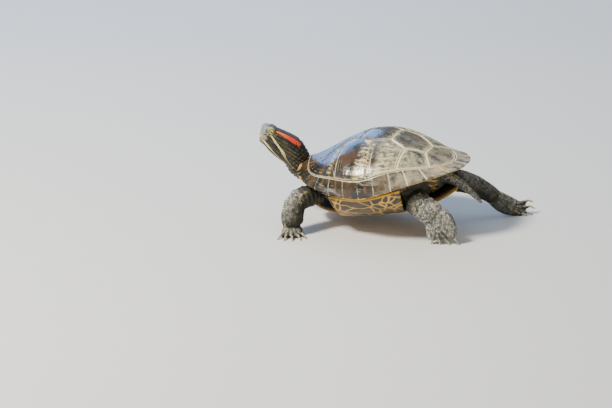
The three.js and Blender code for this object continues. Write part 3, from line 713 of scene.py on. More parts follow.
# Plastron and bridges in the shell's frame. A rise has its height, where it starts, its run and its
# power; an end of the bridge its place at the plastron and its slant; a row of corners is half a scute.
belly = dict(drop=35, waist=49, thickness=4.5, overlap=0.3, step=1.6, frontRise=(15, -22, 64, 1.6),
             rearRise=(17, 30, 60, 1.7), sideRise=(3.5, 22, 30), rim=0.6, dents=0.15, rings=0.08)
bridge = dict(thickness=3.4, seams=(-14, 10, 27), columns=64, rows=22, groove=0.4, worn=0.5, grain=0.12,
              front=(-35.7, -6), rear=(39.7, 4), inset=0.02, topShare=0.935, topDrop=7.4, endsRise=4.5,
              outset=0.8, tuck=1.6, foot=0.4, bulge=2.2)
bellyScutes = dict(
    front=(((-84, 0), (-86, 11), (-80, 20), (-66, 0)),
           ((-66, 0), (-80, 20), (-77, 25), (-62, 35), (-46, 39.4), (-40, 0)),
           ((-40, 0), (-46, 39.4), (-38, 49), (-1, 49.5), (-1, 0))),
    rear=(((-1, 0), (-1, 49.5), (42, 46), (49, 39), (44, 0)),
          ((44, 0), (49, 39), (68, 38), (78, 31), (64, 0)),
          ((64, 0), (78, 31), (82, 28), (90, 12), (84, 0))))


def plastronLevel(x, y):
    level = -belly["drop"]
    for key, way in (("frontRise", -1), ("rearRise", 1)):
        height, start, run, power = belly[key]
        level += max(0, (x - start) * way / run) ** power * height
    height, start, run = belly["sideRise"]
    return level + height * smooth((abs(y) - start) / run)


def plastronShape(seed):
    def shape(x, y, d):
        normal = surfaceNormal(plastronLevel, x, y)
        lift = belly["rim"] * bump(max(0, d), 0.7) + belly["dents"] * noise.noise((x * 0.1, y * 0.1, seed))
        lift += belly["rings"] * math.sin(d * 1.8) * bump(d, 8)
        return Vector((x, y, plastronLevel(x, y))) + normal * lift, normal
    return shape


def joinPieces(name, pieces, replaced):
    bm = bmesh.new()
    for piece in pieces:
        bm.from_mesh(piece.data)
    material = pieces[0].data.materials[0]
    for piece in pieces:
        bpy.data.objects.remove(piece)
    return newPiece(name, bm, material, replaced)


def makePlastronMaterial():
    r = Recipe("plastronHorn", marginalPaint, "yellow")
    edge, inner = r.attribute("edge"), r.attribute("inner")
    spot = edge + r.wander(48, 4, 22, rough=0.6, distort=0.5)
    r.paint(r.noise(45, 4, 0.6).fade(0.45, 0.75) * 0.5, (0.32, 0.17, 0.04))
    r.paint(spot.fade(4.6, 5.6) * spot.fade(16, 14.5, 0.25, 1) * edge.fade(1.2, 3.0) * 0.88, "olive")
    r.paint(edge.fade(0.4, 0.05), (0.1, 0.06, 0.02))
    r.paint(inner * 0.92, (0.07, 0.05, 0.028))
    return r.finish(inner.fade(0, 1, 0.42, 0.95), hornRelief(r), Specular_IOR_Level=0.3)


plastronHorn = makePlastronMaterial()


# A point of the bridge's outside; s runs from the plastron up to the marginals.
def bridgePoint(side, x, s):
    angle = math.atan2(shell["halfWidth"], x)
    topY = rimRadius(angle) * math.sin(angle) * bridge["topShare"]
    topZ = rimHeight(angle) - bridge["topDrop"] + bridge["endsRise"] * abs(math.cos(angle))
    lowY = belly["waist"] + bridge["outset"] - bridge["tuck"] * smooth((x - 10) / 30)
    lowZ = plastronLevel(x, lowY) + bridge["foot"]
    bulge = math.sin(math.pi * s) * bridge["bulge"]
    y = lowY + (topY - lowY) * s + bulge * 0.7
    return Vector((x, side * y, lowZ + (topZ - lowZ) * max(0, s) ** 1.25 - bulge * 0.4))


def makeBridgeMaterial():
    r = Recipe("bridgeHorn", marginalPaint, "olive")
    down = r.attribute("down")
    swirl = r.node("ShaderNodeVectorMath", operation="SCALE")
    r.feed(swirl, {0: r.noise(55, 2, 0.5, out="Color"), "Scale": 0.014})
    bent = r.node("ShaderNodeVectorMath", operation="ADD")
    r.feed(bent, {0: r.stretch((0.85, 1, 1.45)), 1: Wire(r, swirl.outputs[0])})
    loops = r.cells(50, "DISTANCE_TO_EDGE", Wire(r, bent.outputs[0])).fade(0.05, 0.022)
    streak = r.cells(36, "DISTANCE_TO_EDGE", r.stretch((0.6, 1, 1.4), (0, 0.7, 0))).fade(0.034, 0.014)
    # Towards the plastron the yellow loops fade to less than half: painted shade on the lower bridge.
    loops = loops.most(streak * 0.8) * r.noise(40, 3).fade(0.38, 0.5) * down.fade(0.3, 0.62, 0.45, 1)
    r.paint(r.noise(90, 4).fade(0.4, 0.62), "brown")
    r.paint(loops, "yellow")
    rails = down.fade(0.13, 0.05).most(down.fade(0.9, 0.97))
    r.paint(rails * r.noise(120, 3).fade(0.3, 0.5), "yellow")
    r.paint(r.noise(50, 4, 0.6).fade(0.42, 0.7) * 0.4, (0.07, 0.045, 0.02))
    return r.finish(0.36, hornRelief(r), Coat_Weight=0.25, Coat_Roughness=0.25)


bridgeHorn = makeBridgeMaterial()


def buildBridge(word, side):
    bm = bmesh.new()
    down = bm.verts.layers.float.new("down")
    bmesh.ops.create_grid(bm, x_segments=bridge["columns"], y_segments=bridge["rows"], size=0.5)
    made = bmesh.ops.extrude_face_region(bm, geom=bm.faces[:])
    inner = {g for g in made["geom"] if isinstance(g, bmesh.types.BMVert)}
    for v in bm.verts:
        u, s = v.co.x + 0.5, v.co.y + 0.5
        low, high = (place + slant * s for place, slant in (bridge["front"], bridge["rear"]))
        x = low + (high - low) * u
        s = bridge["inset"] + (1 - 2 * bridge["inset"]) * s
        place = bridgePoint(side, x, s)
        du = bridgePoint(side, x + 0.2, s) - bridgePoint(side, x - 0.2, s)
        dv = bridgePoint(side, x, s + 0.01) - bridgePoint(side, x, s - 0.01)
        normal = du.cross(dv).normalized()
        if normal.y * side < 0:
            normal = -normal
        if v in inner:
            place -= normal * bridge["thickness"]
        else:
            ends = max(0, min(x - low, high - x, s * 26, (1 - s) * 26))
            seam = min(abs(x - t) for t in bridge["seams"])
            sunk = bridge["worn"] * bump(ends, 0.9) + bridge["groove"] * bump(seam, 0.6)
            place -= normal * (sunk + bridge["grain"] * noise.noise(place * 0.2))
        v[down] = s
        v.co = fromShell(*place)
    bmesh.ops.recalc_face_normals(bm, faces=bm.faces)
    newPiece(word + "Bridge", bm, bridgeHorn, ("bridge_" + word,))


def buildPlastron():
    for part, outlines in bellyScutes.items():
        pieces = []
        for k, half in enumerate(outlines):
            for side in (1, -1):
                outline = [(x, y * side) for x, y in half]
                pieces.append(buildPlate(f"belly{part}{k}{side}", outline, plastronShape(k), plastronHorn,
                                         (), belly["overlap"] - belly["thickness"], belly["step"]))
        joinPieces(part + "Plastron", pieces, (f"plastron_{part}_lobe",))
    buildBridge("left", -1)
    buildBridge("right", 1)
    print("plastron and bridges built")


buildPlastron()


# Skin: one closed surface over every node of flesh, in millimetres. The solids swell a little so
# that they melt together, and the skin is drawn in again by as much and the inset.
flesh = dict(voxel=1.4, smoothing=9, inset=0.4, swelling=0.35, fineReaches=(41, 30))
fleshNodes = ("trunk", "head", "lower_jaw", "neck", "tail", "front_left_leg", "front_left_foot",
              "front_right_leg", "front_right_foot", "hind_left_leg", "hind_left_foot", "hind_right_leg",
              "hind_right_foot")


def gatherFlesh():
    bm = bmesh.new()
    for name in fleshNodes:
        part = mergedCopy(name)
        part.normal_update()
        for v in part.verts:
            v.co += v.normal * flesh["swelling"] * mm
        addAndFree(part, bm)
    mesh = bpy.data.meshes.new("fleshBlock")
    bm.to_mesh(mesh)
    bm.free()
    block = bpy.data.objects.new("fleshBlock", mesh)
    bpy.context.scene.collection.objects.link(block)
    remesh = block.modifiers.new("voxels", "REMESH")
    remesh.mode = "VOXEL"
    remesh.voxel_size = flesh["voxel"] * mm
    evaluated = block.evaluated_get(bpy.context.evaluated_depsgraph_get())
    bm = bmesh.new()
    bm.from_mesh(evaluated.to_mesh())
    evaluated.to_mesh_clear()
    bpy.data.objects.remove(block)
    return bm


# Taubin smoothing: a pass in, a pass out, so that the form keeps its size.
def taubin(points, edges, passes, weight=None):
    count = np.bincount(edges.ravel(), minlength=len(points)).astype(float)
    for _ in range(passes):
        for factor in (0.5, -0.53):
            total = np.empty_like(points)
            for axis in range(3):
                column = points[:, axis]
                total[:, axis] = (np.bincount(edges[:, 0], column[edges[:, 1]], len(points))
                                  + np.bincount(edges[:, 1], column[edges[:, 0]], len(points)))
            step = (total / count[:, None] - points) * factor
            points = points + (step if weight is None else step * weight[:, None])
    return points


def readPoints(bm):
    bm.verts.ensure_lookup_table()
    bm.verts.index_update()
    points = np.array([v.co for v in bm.verts])
    edges = np.array([(e.verts[0].index, e.verts[1].index) for e in bm.edges])
    return points, edges


def writePoints(bm, points):
    for v, place in zip(bm.verts, points):
        v.co = place
    bm.normal_update()


# Head frame: t runs back from the snout, l to the animal's right, n up. A crease has its height, its
# distance from the mouth line and its width; a swelling its height, then middle and reach along t, n, l.
# Round the eye, distances are shares of its opening. The socket has its rise over the ball at the edge of
# the lids, its depth inside them and how soon it gets there.
head = dict(snout=(-140, -19, 92.3), pitch=32.8, yaw=21, eyeT=9.2, eyeL=7.6, eyeN=11.3,
            eyeBall=(4.64, 3.96, 4.3), opening=(3.7, 2.75), lidRise=0.42, lidRim=(0.28, 1.12, 0.13),
            lidFold=(-0.42, 1.48, 0.1), lidEdge=1.02, lidEnd=1.25, lidFade=0.75, lidReach=2.4,
            eyeSlant=0.08, lowerLid=0.95, socket=(0.25, 1.7, 0.2), mouth=(-0.85, 0, 0.45),
            upperLip=(0.3, 1.1, 0.8), lowerLip=(-0.22, -1.2, 0.9), sheath=(-0.14, 3.6, 0.35),
            cheek=(0.9, 20, 6, 1, 5, 0, math.inf), jawHollow=(-0.6, 14, 3, 4, 3, 0, math.inf),
            brow=(0.45, 8, 4, 15.5, 1.2, 7, 2.2), forehead=(-0.5, 3, 3, 13, 2, 0, 2.5),
            drum=(-0.35, 26.5, 4.5, 4.2, 0.8), nostrilOut=1.7, nostrilUp=8.6, nostrilWidth=0.62,
            nostrilDepth=0.9, nostrilRim=0.12)
yaw, pitch = math.radians(head["yaw"]), math.radians(head["pitch"])
headBack = Vector((math.cos(yaw) * math.cos(pitch), math.sin(yaw) * math.cos(pitch), -math.sin(pitch)))
headSide = Vector((-math.sin(yaw), math.cos(yaw), 0))
headUp = headBack.cross(headSide)
headOrigin = (Vector(head["snout"]) + Vector((bodyX, 0, 0))) * mm
headTurn = np.array([headBack, headSide, headUp])


def toHeadFrame(points):
    return (points - np.array(headOrigin)) @ headTurn.T / mm


def fromHeadFrame(places):
    return places * mm @ headTurn + np.array(headOrigin)


def ballLateral(t, n):
    a, b, c = head["eyeBall"]
    inside = 1 - ((t - head["eyeT"]) / a) ** 2 - ((n - head["eyeN"]) / c) ** 2
    return head["eyeL"] + b * np.sqrt(np.clip(inside, 0, 1))


# Lids hug the eyeball; inside the opening the skin passes behind it.
def shapeEyes(p):
    t, l, n = p.T
    dt, dn = t - head["eyeT"], n - head["eyeN"]
    a, b = head["opening"]
    slant = dn - head["eyeSlant"] * dt
    e = np.sqrt((dt / a) ** 2 + (slant / np.where(slant > 0, b, b * head["lowerLid"])) ** 2)
    out, ball = np.abs(l), ballLateral(t, n)
    near = (out > 3.5) & (e < head["lidReach"])
    away = smoothArray((e - head["lidEnd"]) / head["lidFade"])
    lid = (ball + head["lidRise"]) * (1 - away) + out * away + crease("lidRim", e) + crease("lidFold", e)
    rise, depth, run = head["socket"]
    inside = ball + rise - depth * smoothArray((head["lidEdge"] - e) / run)
    lid = np.where(e < head["lidEdge"], inside, lid)
    lid = np.where(e < head["lidEnd"], lid, np.maximum(lid, out - 0.5))
    p[:, 1] = np.sign(l) * np.where(near, lid, out)
    return p


# Height over the line of the mouth, and how much of the mouth there is at this point.
def mouthGap(t, n):
    mouth = -1.7 + 1.0 * np.clip(t / 13.6, 0, 1) ** 2.5 - 0.9 * swell(t + 1.5, 2.4)
    return n - mouth, smoothArray((14.6 - t) / 1.6)


def crease(name, gap):
    height, place, width = head[name]
    return height * swell(gap - place, width)


def swelling(name, t, n, out):
    height, middleT, reachT, middleN, reachN, middleL, reachL = head[name]
    away = ((t - middleT) / reachT) ** 2 + ((n - middleN) / reachN) ** 2 + ((out - middleL) / reachL) ** 2
    return height * np.exp(-away)


def shapeHead(points, normals):
    p = toHeadFrame(points)
    here = (p[:, 0] > -6) & (p[:, 0] < 44)
    q = p[here].copy()
    t, n, out = q[:, 0], q[:, 2], np.abs(q[:, 1])
    gap, fade = mouthGap(t, n)
    push = (crease("mouth", gap) + crease("upperLip", gap) * smoothArray((12 - t) / 6)
            + crease("lowerLip", gap)) * fade
    push += crease("sheath", gap + 0.12 * t) * smoothArray((9.5 - t) / 2)
    for name in ("cheek", "jawHollow", "brow", "forehead"):
        push += swelling(name, t, n, out)
    height, drumT, drumN, radius, width = head["drum"]
    push += height * swell(np.hypot(t - drumT, (n - drumN) * 1.1) - radius, width)
    nostril = np.hypot(out - head["nostrilOut"], n - head["nostrilUp"])
    opening = head["nostrilRim"] * swell(nostril - 1.05, 0.35)
    opening -= head["nostrilDepth"] * swell(nostril, head["nostrilWidth"])
    push += np.where(t < 3, opening, 0)
    q += (normals[here] @ headTurn.T) * push[:, None]
    p[here] = shapeEyes(q)
    return fromHeadFrame(p)


# Feet: where the digits start, where they point, across them, and the direction of each in degrees.
feet = dict(
    frontLeft=dict(root=(-77, -83, 3.4), aim=(0.42, -0.9, -0.04), side=(0.95, -0.3, 0),
                   fan=(-38, -19, 0, 19, 38)),
    frontRight=dict(root=(-80, 83, 3.4), aim=(0.42, 0.9, -0.04), side=(0.95, 0.3, 0),
                    fan=(-38, -19, 0, 19, 38)),
    hindLeft=dict(root=(83.5, -50.8, 16), aim=(0.34, -0.12, -0.86), side=(0.83, 0.3, 0.47),
                  fan=(-31, -11, 10, 32)),
    hindRight=dict(root=(129, 74, 8.6), aim=(0.89, 0.36, -0.2), side=(-0.1, 0.45, 0.88),
                   fan=(-26, -9, 9, 26)))
toeGroove = dict(depth=1.25, width=4.2, start=4, reach=30, shade=0.9, thickness=12, toe=0.35, toeWidth=5,
                 closing=0.86, heel=8)


def unit(vector):
    return vector / np.linalg.norm(vector)


def footFrame(points, name):
    foot = feet[name]
    aim = unit(np.array(foot["aim"], dtype=float))
    side = np.array(foot["side"], dtype=float)
    side = unit(side - aim * side.dot(aim))
    offset = points / mm - (np.array(foot["root"]) + (bodyX, 0, 0) - aim * toeGroove["heel"])
    return offset @ aim, offset @ side, offset @ np.cross(aim, side)


# Relief of the digits, from -1 in the web between two toes to 0.35 on a toe.
def toeRelief(points):
    look = toeGroove
    relief = np.zeros(len(points))
    for name, foot in feet.items():
        ahead, sideways, depth = footFrame(points, name)
        distance = np.hypot(ahead, sideways)
        angle = np.degrees(np.arctan2(sideways, ahead))
        near = (distance < look["reach"]) & (np.abs(depth) < look["thickness"]) & (ahead > 0)
        toes = np.array(foot["fan"]) * look["closing"]
        push = sum(look["toe"] * swell(angle - toe, look["toeWidth"]) for toe in toes)
        push -= sum(swell(angle - web, look["width"]) for web in (toes[1:] + toes[:-1]) / 2)
        relief += push * smoothArray((distance - look["start"]) / 14) * near
    return relief


# Loose skin folds where the limbs and the neck leave the shell.
folds = dict(limb=0.55, limbSpan=5.2, limbEnd=46, neck=0.5, neckSpan=4.6, neckStart=8, neckFrom=38, flank=0.4)


def foldSkin(points, normals, region, along):
    wobble = np.array([noise.noise(Vector(p) * 42) for p in points])
    limb = np.isin(region, [regionCodes[name] for name in feet])
    fold = np.sin(along / folds["limbSpan"] * 2 * np.pi + wobble * 5)
    push = np.where(limb, folds["limb"] * fold * smoothArray((folds["limbEnd"] - along) / 16), 0)
    neckAlong = limbFrame(points, "neck")[0]
    onNeck = (region == regionCodes["neck"]) & (toHeadFrame(points)[:, 0] > folds["neckFrom"])
    ring = np.sin(neckAlong / folds["neckSpan"] * 2 * np.pi + wobble * 4)
    growing = smoothArray((neckAlong - folds["neckStart"]) / 10)
    push += np.where(onNeck, folds["neck"] * (ring - 0.3) * growing, 0)
    push += np.where(region == regionCodes["trunk"], folds["flank"] * np.sin(wobble * 14), 0)
    return points + normals * push[:, None] * mm


# Middle lines of the limbs, from which scales and stripes take their course, then the direction from
# which the angle round each is counted, and the number by which the skin knows it.
limbLines = dict(
    frontLeft=((-58, -34, 37), (-69, -50, 37), (-77.5, -66, 33), (-78.5, -75.5, 20), (-78, -78, 6),
               (-74, -95, 2)),
    frontRight=((-61, 34, 37), (-72, 50, 37), (-80.5, 66, 33), (-81.5, 75.5, 20), (-81, 78, 6),
                (-77, 95, 2)),
    hindLeft=((42, -26, 44), (53, -40, 43), (61, -49, 40.5), (72, -50.5, 35), (80, -50, 29), (87, -51.5, 13),
              (91, -53, 0)),
    hindRight=((46, 24, 46), (64, 38, 45), (84, 52, 38.5), (101, 62, 27.5), (117, 69, 14.4), (131, 74.5, 7.6),
               (148, 82, 2)),
    tail=((66, 0, 62), (84, -1, 57.5), (97, -2.5, 51.5), (109, -4, 43.5), (119.5, -5, 35)),
    neck=((-116, -9, 75), (-108, -6, 68), (-97.5, -2, 55), (-88, -1, 45.5), (-64, 0, 37)))
limbSides = dict(frontLeft=(1, 0.2, 0), frontRight=(1, -0.2, 0), hindLeft=(0.83, 0.3, 0.47),
                 hindRight=(-0.1, 0.45, 0.88), tail=(0, 1, 0), neck=(0, 1, 0))
regionCodes = dict(trunk=0, neck=1, frontLeft=2, frontRight=3, hindLeft=4, hindRight=5, tail=6)
limbReach = 21   # skin farther than this from every middle line belongs to the trunk
headReach = 42   # skin up to here behind the snout belongs to the head


# Distance along, angle round and distance from the middle line of a limb, in millimetres.
def limbFrame(points, name):
    line = np.array(limbLines[name]) + (bodyX, 0, 0)
    places = points / mm
    best = np.full(len(places), 1e9)
    along, around = np.zeros(len(places)), np.zeros(len(places))
    start = 0.0
    hint = np.array(limbSides[name], dtype=float)
    for a, b in zip(line[:-1], line[1:]):
        length = np.linalg.norm(b - a)
        run = (b - a) / length
        side = unit(hint - run * hint.dot(run))
        up = np.cross(run, side)
        offset = places - a
        t = np.clip(offset @ run, 0, length)
        away = offset - t[:, None] * run
        distance = np.linalg.norm(away, axis=1)
        closer = distance < best
        best = np.where(closer, distance, best)
        along = np.where(closer, start + t, along)
        around = np.where(closer, np.arctan2(away @ up, away @ side), around)
        start += length
    return along, around, best


# Stripes of the head, seen from its side as lines in the head frame: t, n, half width.
stripes = dict(
    red=((12.9, 14.0, 0.25), (15, 14.4, 0.6), (20, 15.1, 1.0), (28, 15.8, 1.5), (35, 15.9, 1.9),
         (41, 15.7, 2.0), (43.2, 15.6, 1.5)),
    cheek=((10.8, 7.6, 0.6), (15, 6.1, 0.85), (22, 3.2, 0.95), (29, 0.4, 1.1), (33.2, -1.7, 1.75),
           (36, -3.6, 1.2), (40, -6.8, 0.7), (52, -11, 0.5)),
    jaw=((1.5, -0.2, 0.5), (4, -0.9, 0.75), (9.8, -3.4, 1.0), (16, -5.2, 1.1), (20.6, -6.6, 0.7),
         (23, -7.6, 0.35), (34, -10.4, 0.3), (46, -12, 0.3)),
    chin=((3, -7.0, 0.3), (12, -8.8, 0.4), (24, -11.6, 0.5), (40, -13.4, 0.5)),
    snout=((0.5, 9.6, 0.05), (2.5, 11.6, 0.2), (4.2, 13.4, 0.15), (8, 15.9, 0.05)),
    lore=((0.2, 3.4, 0.05), (3.4, 5.6, 0.2), (6.2, 6.9, 0.25), (9.6, 6.9, 0.15)))


# Rounds the corners of a line by cutting them off twice.
def rounded(line):
    for _ in range(2):
        cut = [line[0]]
        for a, b in zip(line[:-1], line[1:]):
            cut.append(tuple(p * 0.75 + q * 0.25 for p, q in zip(a, b)))
            cut.append(tuple(p * 0.25 + q * 0.75 for p, q in zip(a, b)))
        line = cut + [line[-1]]
    return line


# Signed distance from a striped line: below nought inside the stripe.
def stripeDistance(t, n, line):
    best = np.full(len(t), 99.0)
    line = rounded(list(line))
    for (t0, n0, w0), (t1, n1, w1) in zip(line[:-1], line[1:]):
        run, rise = t1 - t0, n1 - n0
        k = np.clip(((t - t0) * run + (n - n0) * rise) / (run * run + rise * rise), 0, 1)
        distance = np.hypot(t - t0 - k * run, n - n0 - k * rise) - (w0 + (w1 - w0) * k)
        best = np.minimum(best, distance)
    return best


offStripe = 9.0   # distance given to skin that has no stripe
throat = dict(below=-4, halfWidth=2.2)   # its middle stays dark


def paintAttributes(mesh, points, region):
    t, l, n = toHeadFrame(points).T
    onHead = region == regionCodes["neck"]
    pale = [stripeDistance(t, n, stripes[key]) for key in stripes if key != "red"]
    apart = np.where(n < throat["below"], throat["halfWidth"] - np.abs(l), -offStripe) * 0.6
    gap, fade = mouthGap(t, n)
    values = dict(red=np.where(onHead, stripeDistance(t, n, stripes["red"]), offStripe),
                  yellow=np.where(onHead, np.maximum(np.minimum.reduce(pale), apart), offStripe),
                  lines=np.degrees(np.arctan2(np.abs(l), n - 3)), headT=np.where(onHead, t, 60),
                  headN=np.where(onHead, n, 0), headL=np.where(onHead, np.abs(l), 0), region=region,
                  mouth=np.where(onHead & (t < 15), np.abs(gap) + (1 - fade) * 3, offStripe))
    for key, value in values.items():
        setAttribute(mesh, key, value)


# The limb or region of each point, and its distance along and angle round its limb.
def classify(points):
    frames = {name: limbFrame(points, name) for name in limbLines}
    reach = np.array([away for along, around, away in frames.values()])
    nearest, close = reach.argmin(axis=0), reach.min(axis=0) < limbReach
    region, along, around = np.zeros((3, len(points)))
    for k, name in enumerate(frames):
        region = np.where((nearest == k) & close, regionCodes[name], region)
    region = np.where(toHeadFrame(points)[:, 0] < headReach, regionCodes["neck"], region)
    for name in scaleAreas:
        mask = region == regionCodes[name]
        along = np.where(mask, frames[name][0], along)
        around = np.where(mask, frames[name][1], around)
    return region, along, around


def buildSkin():
    bm = gatherFlesh()
    print("flesh remeshed:", len(bm.verts), "points")
    points, edges = readPoints(bm)
    writePoints(bm, taubin(points, edges, flesh["smoothing"]))
    for v in bm.verts:
        v.co -= v.normal * (flesh["inset"] + flesh["swelling"]) * mm
    for reach in flesh["fineReaches"]:
        t = toHeadFrame(readPoints(bm)[0])[:, 0]
        local = [e for e in bm.edges if max(t[e.verts[0].index], t[e.verts[1].index]) < reach]
        bmesh.ops.subdivide_edges(bm, edges=local, cuts=1, use_grid_fill=True, smooth=0)
        points, edges = readPoints(bm)
        t = toHeadFrame(points)[:, 0]
        writePoints(bm, taubin(points, edges, 4, smoothArray((reach + 2 - t) / 4)))
    points, edges = readPoints(bm)
    normals = np.array([v.normal for v in bm.verts])
    region, along, around = classify(points)
    points = points + normals * (toeRelief(points) * toeGroove["depth"])[:, None] * mm
    points = foldSkin(points, normals, region, along)
    writePoints(bm, shapeHead(points, normals))
    bmesh.ops.triangulate(bm, faces=[f for f in bm.faces if len(f.verts) > 4])
    piece = newPiece("skin", bm, makeSkinMaterial("skinHide"), fleshNodes)
    points = np.array([v.co for v in piece.data.vertices])
    normals = np.array([v.normal for v in piece.data.vertices])
    region, along, around = classify(points)
    paintAttributes(piece.data, points, region)
    setAttribute(piece.data, "along", along)
    setAttribute(piece.data, "around", around)
    # The paleness is cut in the webs between the toes: painted shade in the grooves.
    grooved = 1 + np.clip(toeRelief(points), -1, 0) * toeGroove["shade"]
    setAttribute(piece.data, "pale", paleness(normals, region, along) * grooved)
    print("skin built:", len(piece.data.polygons), "faces")
    return piece


# How pale the dry scales of each limb are everywhere, then how much painted sunlight makes them paler where
# they face the sun.
paleAndPaintedSun = dict(frontLeft=(0.02, 0.95), frontRight=(0.02, 0.95), hindLeft=(0.9, 0.3), hindRight=(0.26, 0.9),
              tail=(0.7, 0.4))
paintedSun = dict(direction=(-0.55, -0.2, 0.8), limbStart=24, run=16)


def paleness(normals, region, along):
    # Painted sunlight: the more a point faces the sun, the paler it is painted.
    lit = normals @ np.array(Vector(paintedSun["direction"]).normalized())
    pale = np.zeros(len(region))
    for name, (base, gain) in paleAndPaintedSun.items():
        pale = np.where(region == regionCodes[name], base + gain * lit, pale)
    start = np.where(region == regionCodes["tail"], 0, paintedSun["limbStart"])
    return np.clip(pale, 0, 1) * smoothArray((along - start) / paintedSun["run"])


skinPaint = dict(dark=(0.014, 0.014, 0.010), olive=(0.046, 0.041, 0.022), brown=(0.15, 0.085, 0.035),
                 yellow=(0.66, 0.52, 0.12), lemon=(0.82, 0.74, 0.24), cream=(0.62, 0.55, 0.34),
                 red=(0.70, 0.035, 0.012), orangeRed=(0.86, 0.17, 0.04), horn=(0.30, 0.34, 0.36),
                 orange=(0.72, 0.36, 0.11), tan=(0.34, 0.25, 0.10), grey=(0.74, 0.71, 0.61),
                 blue=(0.05, 0.07, 0.10), mouth=(0.008, 0.006, 0.005))


# Fine lines, horn of the face and beak, tan lids, then the yellow stripes and the red one over them.
def paintHead(r):
    t, n, l = (r.attribute(key) for key in ("headT", "headN", "headL"))
    lines = (r.attribute("lines") * 0.42 + r.noise(110, 2) * 1.6).sine().fade(0.68, 0.97)
    r.paint(lines * r.noise(190, 3).fade(0.38, 0.58) * 0.4, "tan")
    # The top of the head is tinted blue: a painted reflection of the sky.
    r.paint(n.fade(13, 18) * 0.5, "blue")
    blotch = r.noise(330, 4, 0.65, distort=0.6).fade(0.42, 0.56)
    r.paint(t.fade(12, 5) * blotch.most(t.fade(5.5, 1.5, 0, 0.75)) * 0.8, "horn")
    streaked = r.mix(r.noise(420, 3, 0.6, r.stretch((1, 1, 0.4))).fade(0.4, 0.6), "horn", "tan")
    r.paint(t.fade(9.5, 8.2) * abs(n + 0.2).fade(3.8, 2.6) * 0.7, streaked)
    across, rise = (t - head["eyeT"]) / 5.6, (n - head["eyeN"]) / 4.3
    lids = (across * across + rise * rise).root().fade(1.05, 0.85)
    r.paint(lids * l.fade(4, 6) * 0.75, "tan")
    tip = t.fade(4.5, 0.5) * abs(n + 1.0).fade(4.5, 1.5)
    r.paint(tip * r.noise(280, 3, 0.6).fade(0.36, 0.6, 0.25, 0.8), "orange")
    ragged = r.wander(300, 3, 0.5)
    yellow = r.attribute("yellow") + ragged
    tint = r.mix(r.noise(130, 2).fade(0.4, 0.7), "lemon", "cream")
    tint = r.mix(t.fade(30, 42), tint, "tan")
    tint = r.mix(t.fade(9, 4) * n.fade(3, 1), tint, "orange")
    r.paint(yellow.fade(0.4, 0.1) * t.fade(4, 12, 0.3, 1), "dark")
    r.paint(yellow.fade(0.12, -0.12), tint)
    red = r.attribute("red") + ragged
    r.paint(red.fade(0.7, 0.15), "dark")
    notch = abs(t - 41.2 + (n - 15.5) * 0.8)
    tint = r.mix(notch.fade(0.55, 0.25), r.mix(t.fade(33, 14), "red", "orangeRed"), "cream")
    r.paint(red.fade(0.12, -0.12), tint)


def paintLimbs(r, scale):
    bands = (r.attribute("around") * 5.0 + r.noise(45, 3) * 5.0).sine()
    r.paint(bands.fade(0.95, 0.99) * r.noise(60, 2).fade(0.54, 0.6) * 0.5, "yellow")
    # The pale attribute holds the scales' own paleness and painted sunlight.
    pale = r.attribute("pale")
    if scale:
        speck = r.noise(300, 4, 0.75).fade(0.4, 0.6, 0.12, 1)
        r.paint(pale * r.attribute("tone").fade(0, 1, 0.5, 1.0) * speck, "grey")
    else:
        r.paint(pale * 0.12, "grey")


def paintTrunk(r):
    r.paint(r.noise(50, 4, 0.6).fade(0.35, 0.6), "brown")
    stripe = r.waves(62, 7, 2, 1.2).fade(0.85, 0.95)
    r.paint(stripe * r.noise(55, 2).fade(0.4, 0.5) * 0.75, "yellow")


def makeSkinMaterial(name, scale=False):
    r = Recipe(name, skinPaint, "dark")
    r.paint(r.noise(85, 4, 0.6).fade(0.4, 0.65), "olive")
    region = r.attribute("region")
    onHead = r.math("COMPARE", region, regionCodes["neck"], 0.3)
    body = r.mix(region.fade(0.6, 0.4), r.apart(paintLimbs, scale), r.apart(paintTrunk))
    r.colour = r.mix(onHead, body, r.apart(paintHead))
    r.paint(r.attribute("mouth").fade(0.42, 0.15), "mouth")
    height = r.cells(900) * 0.5 + r.noise(330, 3, 0.6, r.stretch((1, 1, 1.6))) * 0.8
    rough = r.noise(260, 4, 0.6).fade(0.3, 0.7, 0.42, 0.62)
    return r.finish(rough, r.relief(height, 0.45, 0.00045), Specular_IOR_Level=0.32)


# Scales over limbs, feet and tail: sizes in millimetres, shares of them, and the size of a scale's patch
# in the baking map. Then, for each limb, where they start along it and how long it is.
scaleLook = dict(seed=7, thickness=0.34, sink=0.12, lean=0.16, spacing=1.55, footSpacing=1.15,
                 shinSpacing=2.2, tailSpacing=1.3, cover=1.26, top=0.62, triesPerArea=9, crowding=0.42,
                 patch=0.0015, sole=0.02, batch=80)
scaleAreas = dict(frontLeft=(22, 96), frontRight=(22, 96), hindLeft=(20, 88), hindRight=(20, 118),
                  tail=(4, 60))


skin = buildSkin()


def scaleSpacing(name, along, length, normal):
    look = scaleLook
    if name == "tail":
        return look["tailSpacing"] * (1 - 0.35 * along / length)
    size = look["spacing"] + (look["footSpacing"] - look["spacing"]) * smooth((along / length - 0.55) / 0.3)
    if name.startswith("front") and normal[0] < -0.25 and 0.3 < along / length < 0.75:
        size = look["shinSpacing"]
    return size


# Whether a spot keeps its distance from those already kept, which lie in a table of cells.
def isClear(table, cell, spot, size):
    x, y, z = spot
    for step in product((-1, 0, 1), repeat=3):
        for other, otherSize in table.get(tuple(a + b for a, b in zip(cell, step)), ()):
            gap = (size + otherSize) * scaleLook["crowding"]
            if (other[0] - x) ** 2 + (other[1] - y) ** 2 + (other[2] - z) ** 2 < gap * gap:
                return False
    return True


